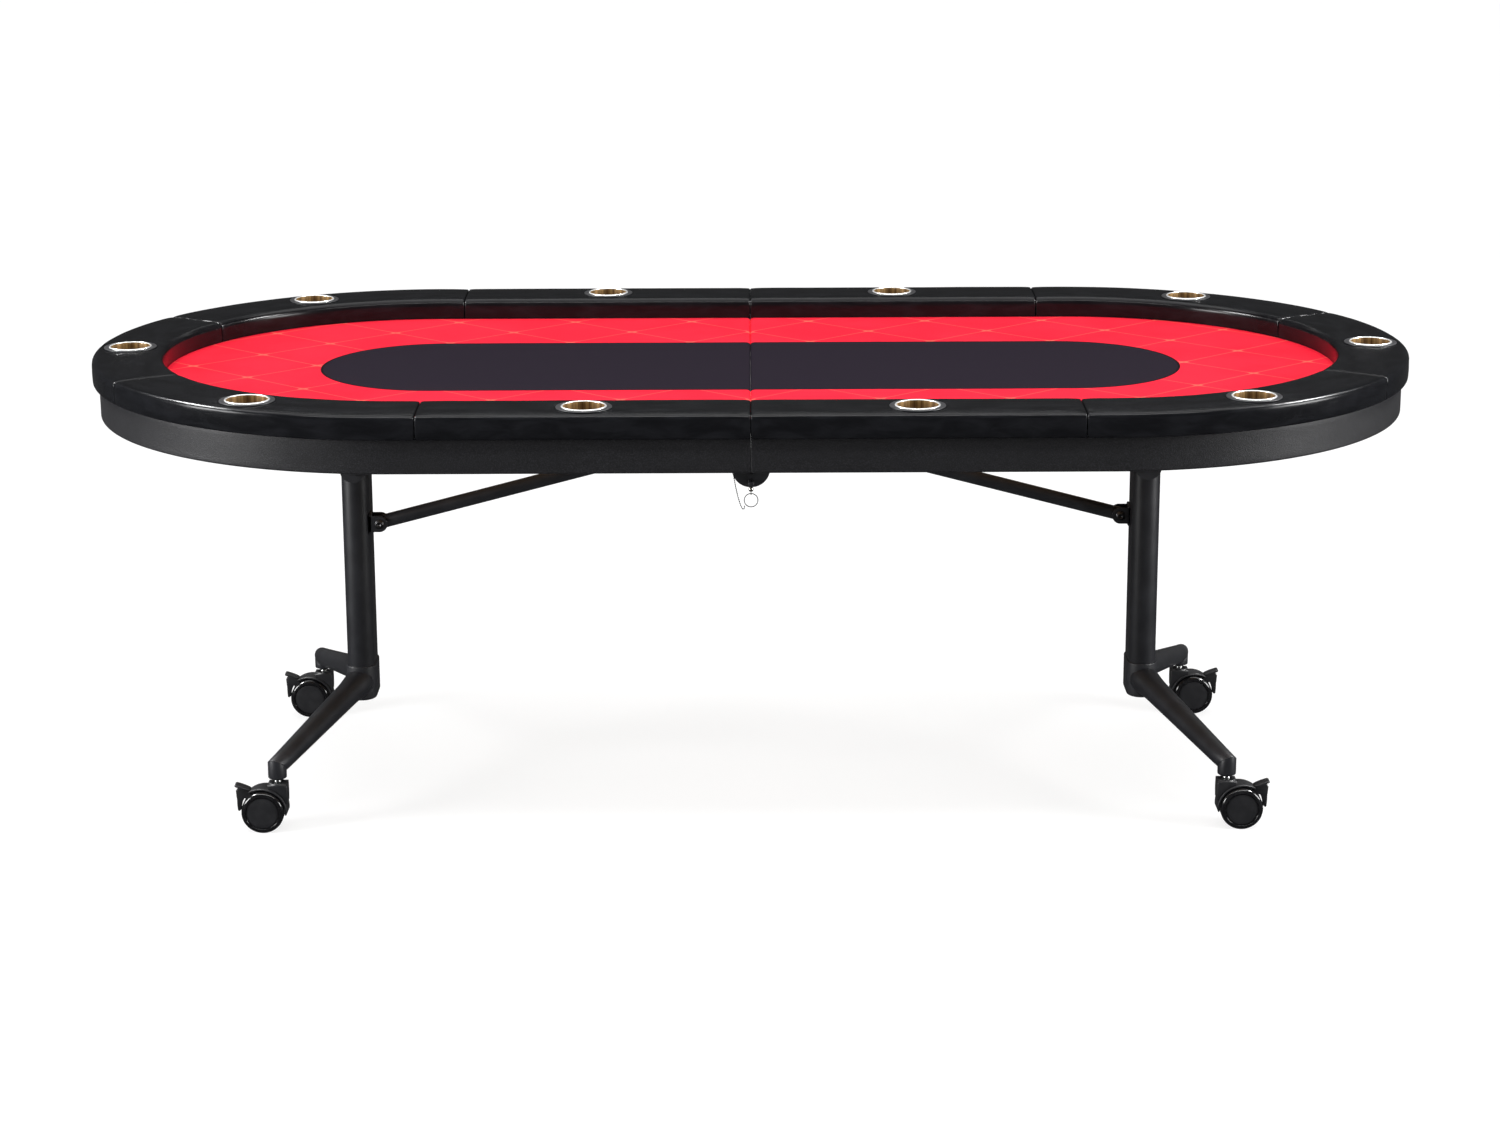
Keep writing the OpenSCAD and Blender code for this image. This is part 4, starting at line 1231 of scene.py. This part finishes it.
def wheel_shell(name, centre, y_dir):
    """One wheel: tread, rounded shoulder, raised gloss ring and a flat satin disc with a bead round it."""
    w0, w1 = 8.0, 28.0
    tread = [(0, w0), (30, w0), (35.4, w0), (36.8, w0 + 0.5), (37.5, w0 + 1.8), (37.5, w1 - 7)]
    shoulder = arc(31.0, w1 - 7.0, 6.5, 0, 68, 9)
    ring = [(32.0, w1 - 0.55), (30.9, w1 - 0.1), (30.1, w1),
            (29.5, w1 - 0.3), (29.2, w1 - 1.2), (29.1, w1 - 3.0)]
    gap = [(28.3, w1 - 3.0), (28.1, w1 - 2.2), (27.6, w1 - 1.7)]
    disc = [(26.8, w1 - 1.5), (20, w1 - 1.4), (10, w1 - 1.3), (0, w1 - 1.3)]
    groups = [(tread, 0), (shoulder, 0), (ring, 0), (gap, 1), (disc, 1)]
    profile = np.vstack([np.asarray(g, float) for g, _ in groups]) * MM
    profile[:, 1] *= y_dir
    band = np.concatenate([np.full(len(g), k) for g, k in groups])[1:]
    wheel = lathe(name, profile, centre, axis="Y", count=96, indices=band)
    return dress(wheel, gloss_nylon(), satin_nylon())


def lever_shell(name, hub, out):
    """A brake lever: fork cheeks on the pin, a curved foot pad, and a tail that follows the wheels' rim."""
    parts = []
    eye = arc(BRAKE_PIN, BRAKE_PIN, BRAKE_EYE, 100, 290, 16)
    cheek = np.vstack([eye, [(47, 22), (48, 36), (40, 38)]])
    for k in (-1, 1):
        parts.append(hub_plate("cheek", cheek, hub, out, 2.6, hub[1] + k * 4.75 * MM, 0.5))
    f = np.linspace(0, 1, 14)
    px = 22 + 27.5 * f
    pz = 35.2 + 13.5 * f - 3.0 * f ** 2
    section, _ = rounded_box(4.2 * MM, 22 * MM, (1.6 * MM,) * 4, 3 * MM)
    d = unit(np.gradient(np.stack([px, pz], axis=1), axis=0))
    n = np.stack([-d[:, 1], d[:, 0]], axis=1)
    grow = np.where((f == 0) | (f == 1), 0.55, 1.0)
    wide = 0.72 + 0.28 * np.sqrt(np.clip(1 - (2 * f - 1.1) ** 4, 0, 1))
    x = px[:, None] * MM + n[:, :1] * section[:, 0][None] * grow[:, None]
    z = pz[:, None] * MM + n[:, 1:] * section[:, 0][None] * grow[:, None]
    y = section[:, 1][None] * wide[:, None]
    parts.append(loft("pad", np.stack([out * x, y + 0 * x, z], axis=-1) + hub))
    back = np.array([(43, -2.5), (45.9, -1), (46.6, 10), (46.8, 32), (45, 40.5), (34, 38.4), (24, 34.5)])
    tail = np.vstack([back, arc(0, 0, 39.6, 56, 1, 14)])
    parts.append(hub_plate("tail", tail, hub, out, 12, hub[1], 1.2))
    pin_at = hub + np.array([out * BRAKE_PIN * MM, 0, BRAKE_PIN * MM])
    parts.append(rod("pin", 2.5 * MM, 6 * MM, pin_at, 16))
    return join(name, parts, satin_nylon())


class TABLE_OT_castors(bpy.types.Operator):
    """Twin-wheel castors with fenders and brake levers"""
    bl_idname = "table.castors"
    bl_label = "Castors"

    def execute(self, context):
        for key, (out, _) in CASTORS.items():
            body = f"castor_{key}"
            stem = joint_at(f"{body}_swivel") * [1, 1, 0]
            hub = joint_at(f"{body}_roll_a")
            place(housing_shell(f"housing_{key}", stem, out), body, "castor_plastic", f"{body}_housing")
            for wheel, y_dir in (("a", -1), ("b", 1)):
                made = wheel_shell(f"wheel_{key}_{wheel}", hub, y_dir)
                place(made, f"{body}_wheel_{wheel}", "wheel_plastic", f"{body}_wheel_{wheel}")
            place(lever_shell(f"lever_{key}", hub, out), f"{body}_lever", "castor_plastic", f"{body}_lever")
        return {"FINISHED"}


class TABLE_OT_under(bpy.types.Operator):
    """Finishes for the plywood decks and the steelwork below them"""
    bl_idname = "table.under"
    bl_label = "Under the deck"

    def execute(self, context):
        nodes = frame["nodes"]
        for name in SIDES:
            dress(nodes[f"deck_{name}"], plywood())
            for part in ("frame", "post_bracket", "brace_guide", "hinge_plates"):
                dress(nodes[f"{part}_{name}"], black_casting())
        return {"FINISHED"}


class TABLE_PT_panel(bpy.types.Panel):
    """Lists the table's builders and settings"""
    bl_label = "Poker table"
    bl_idname = "TABLE_PT_panel"
    bl_space_type = "VIEW_3D"
    bl_region_type = "UI"
    bl_category = "Table"

    def draw(self, context):
        for group in (context.scene.table_shape, context.scene.table_colours):
            box = self.layout.box()
            for name in group.__annotations__:
                box.prop(group, name)
        for operator in OPERATORS:
            self.layout.operator(operator.bl_idname)


OPERATORS = (TABLE_OT_stage, TABLE_OT_rails, TABLE_OT_aprons, TABLE_OT_cloth, TABLE_OT_cups, TABLE_OT_legs,
             TABLE_OT_braces, TABLE_OT_lock, TABLE_OT_castors, TABLE_OT_under)
CLASSES = (TableShape, TableColours) + OPERATORS + (TABLE_PT_panel,)


def register():
    for item in CLASSES:
        bpy.utils.register_class(item)
    bpy.types.Scene.table_shape = bpy.props.PointerProperty(type=TableShape)
    bpy.types.Scene.table_colours = bpy.props.PointerProperty(type=TableColours)


def unregister():
    del bpy.types.Scene.table_colours
    del bpy.types.Scene.table_shape
    for item in reversed(CLASSES):
        bpy.utils.unregister_class(item)


def main():
    register()
    for operator in OPERATORS:
        group, name = operator.bl_idname.split(".")
        getattr(getattr(bpy.ops, group), name)()


if __name__ == "__main__":
    main()
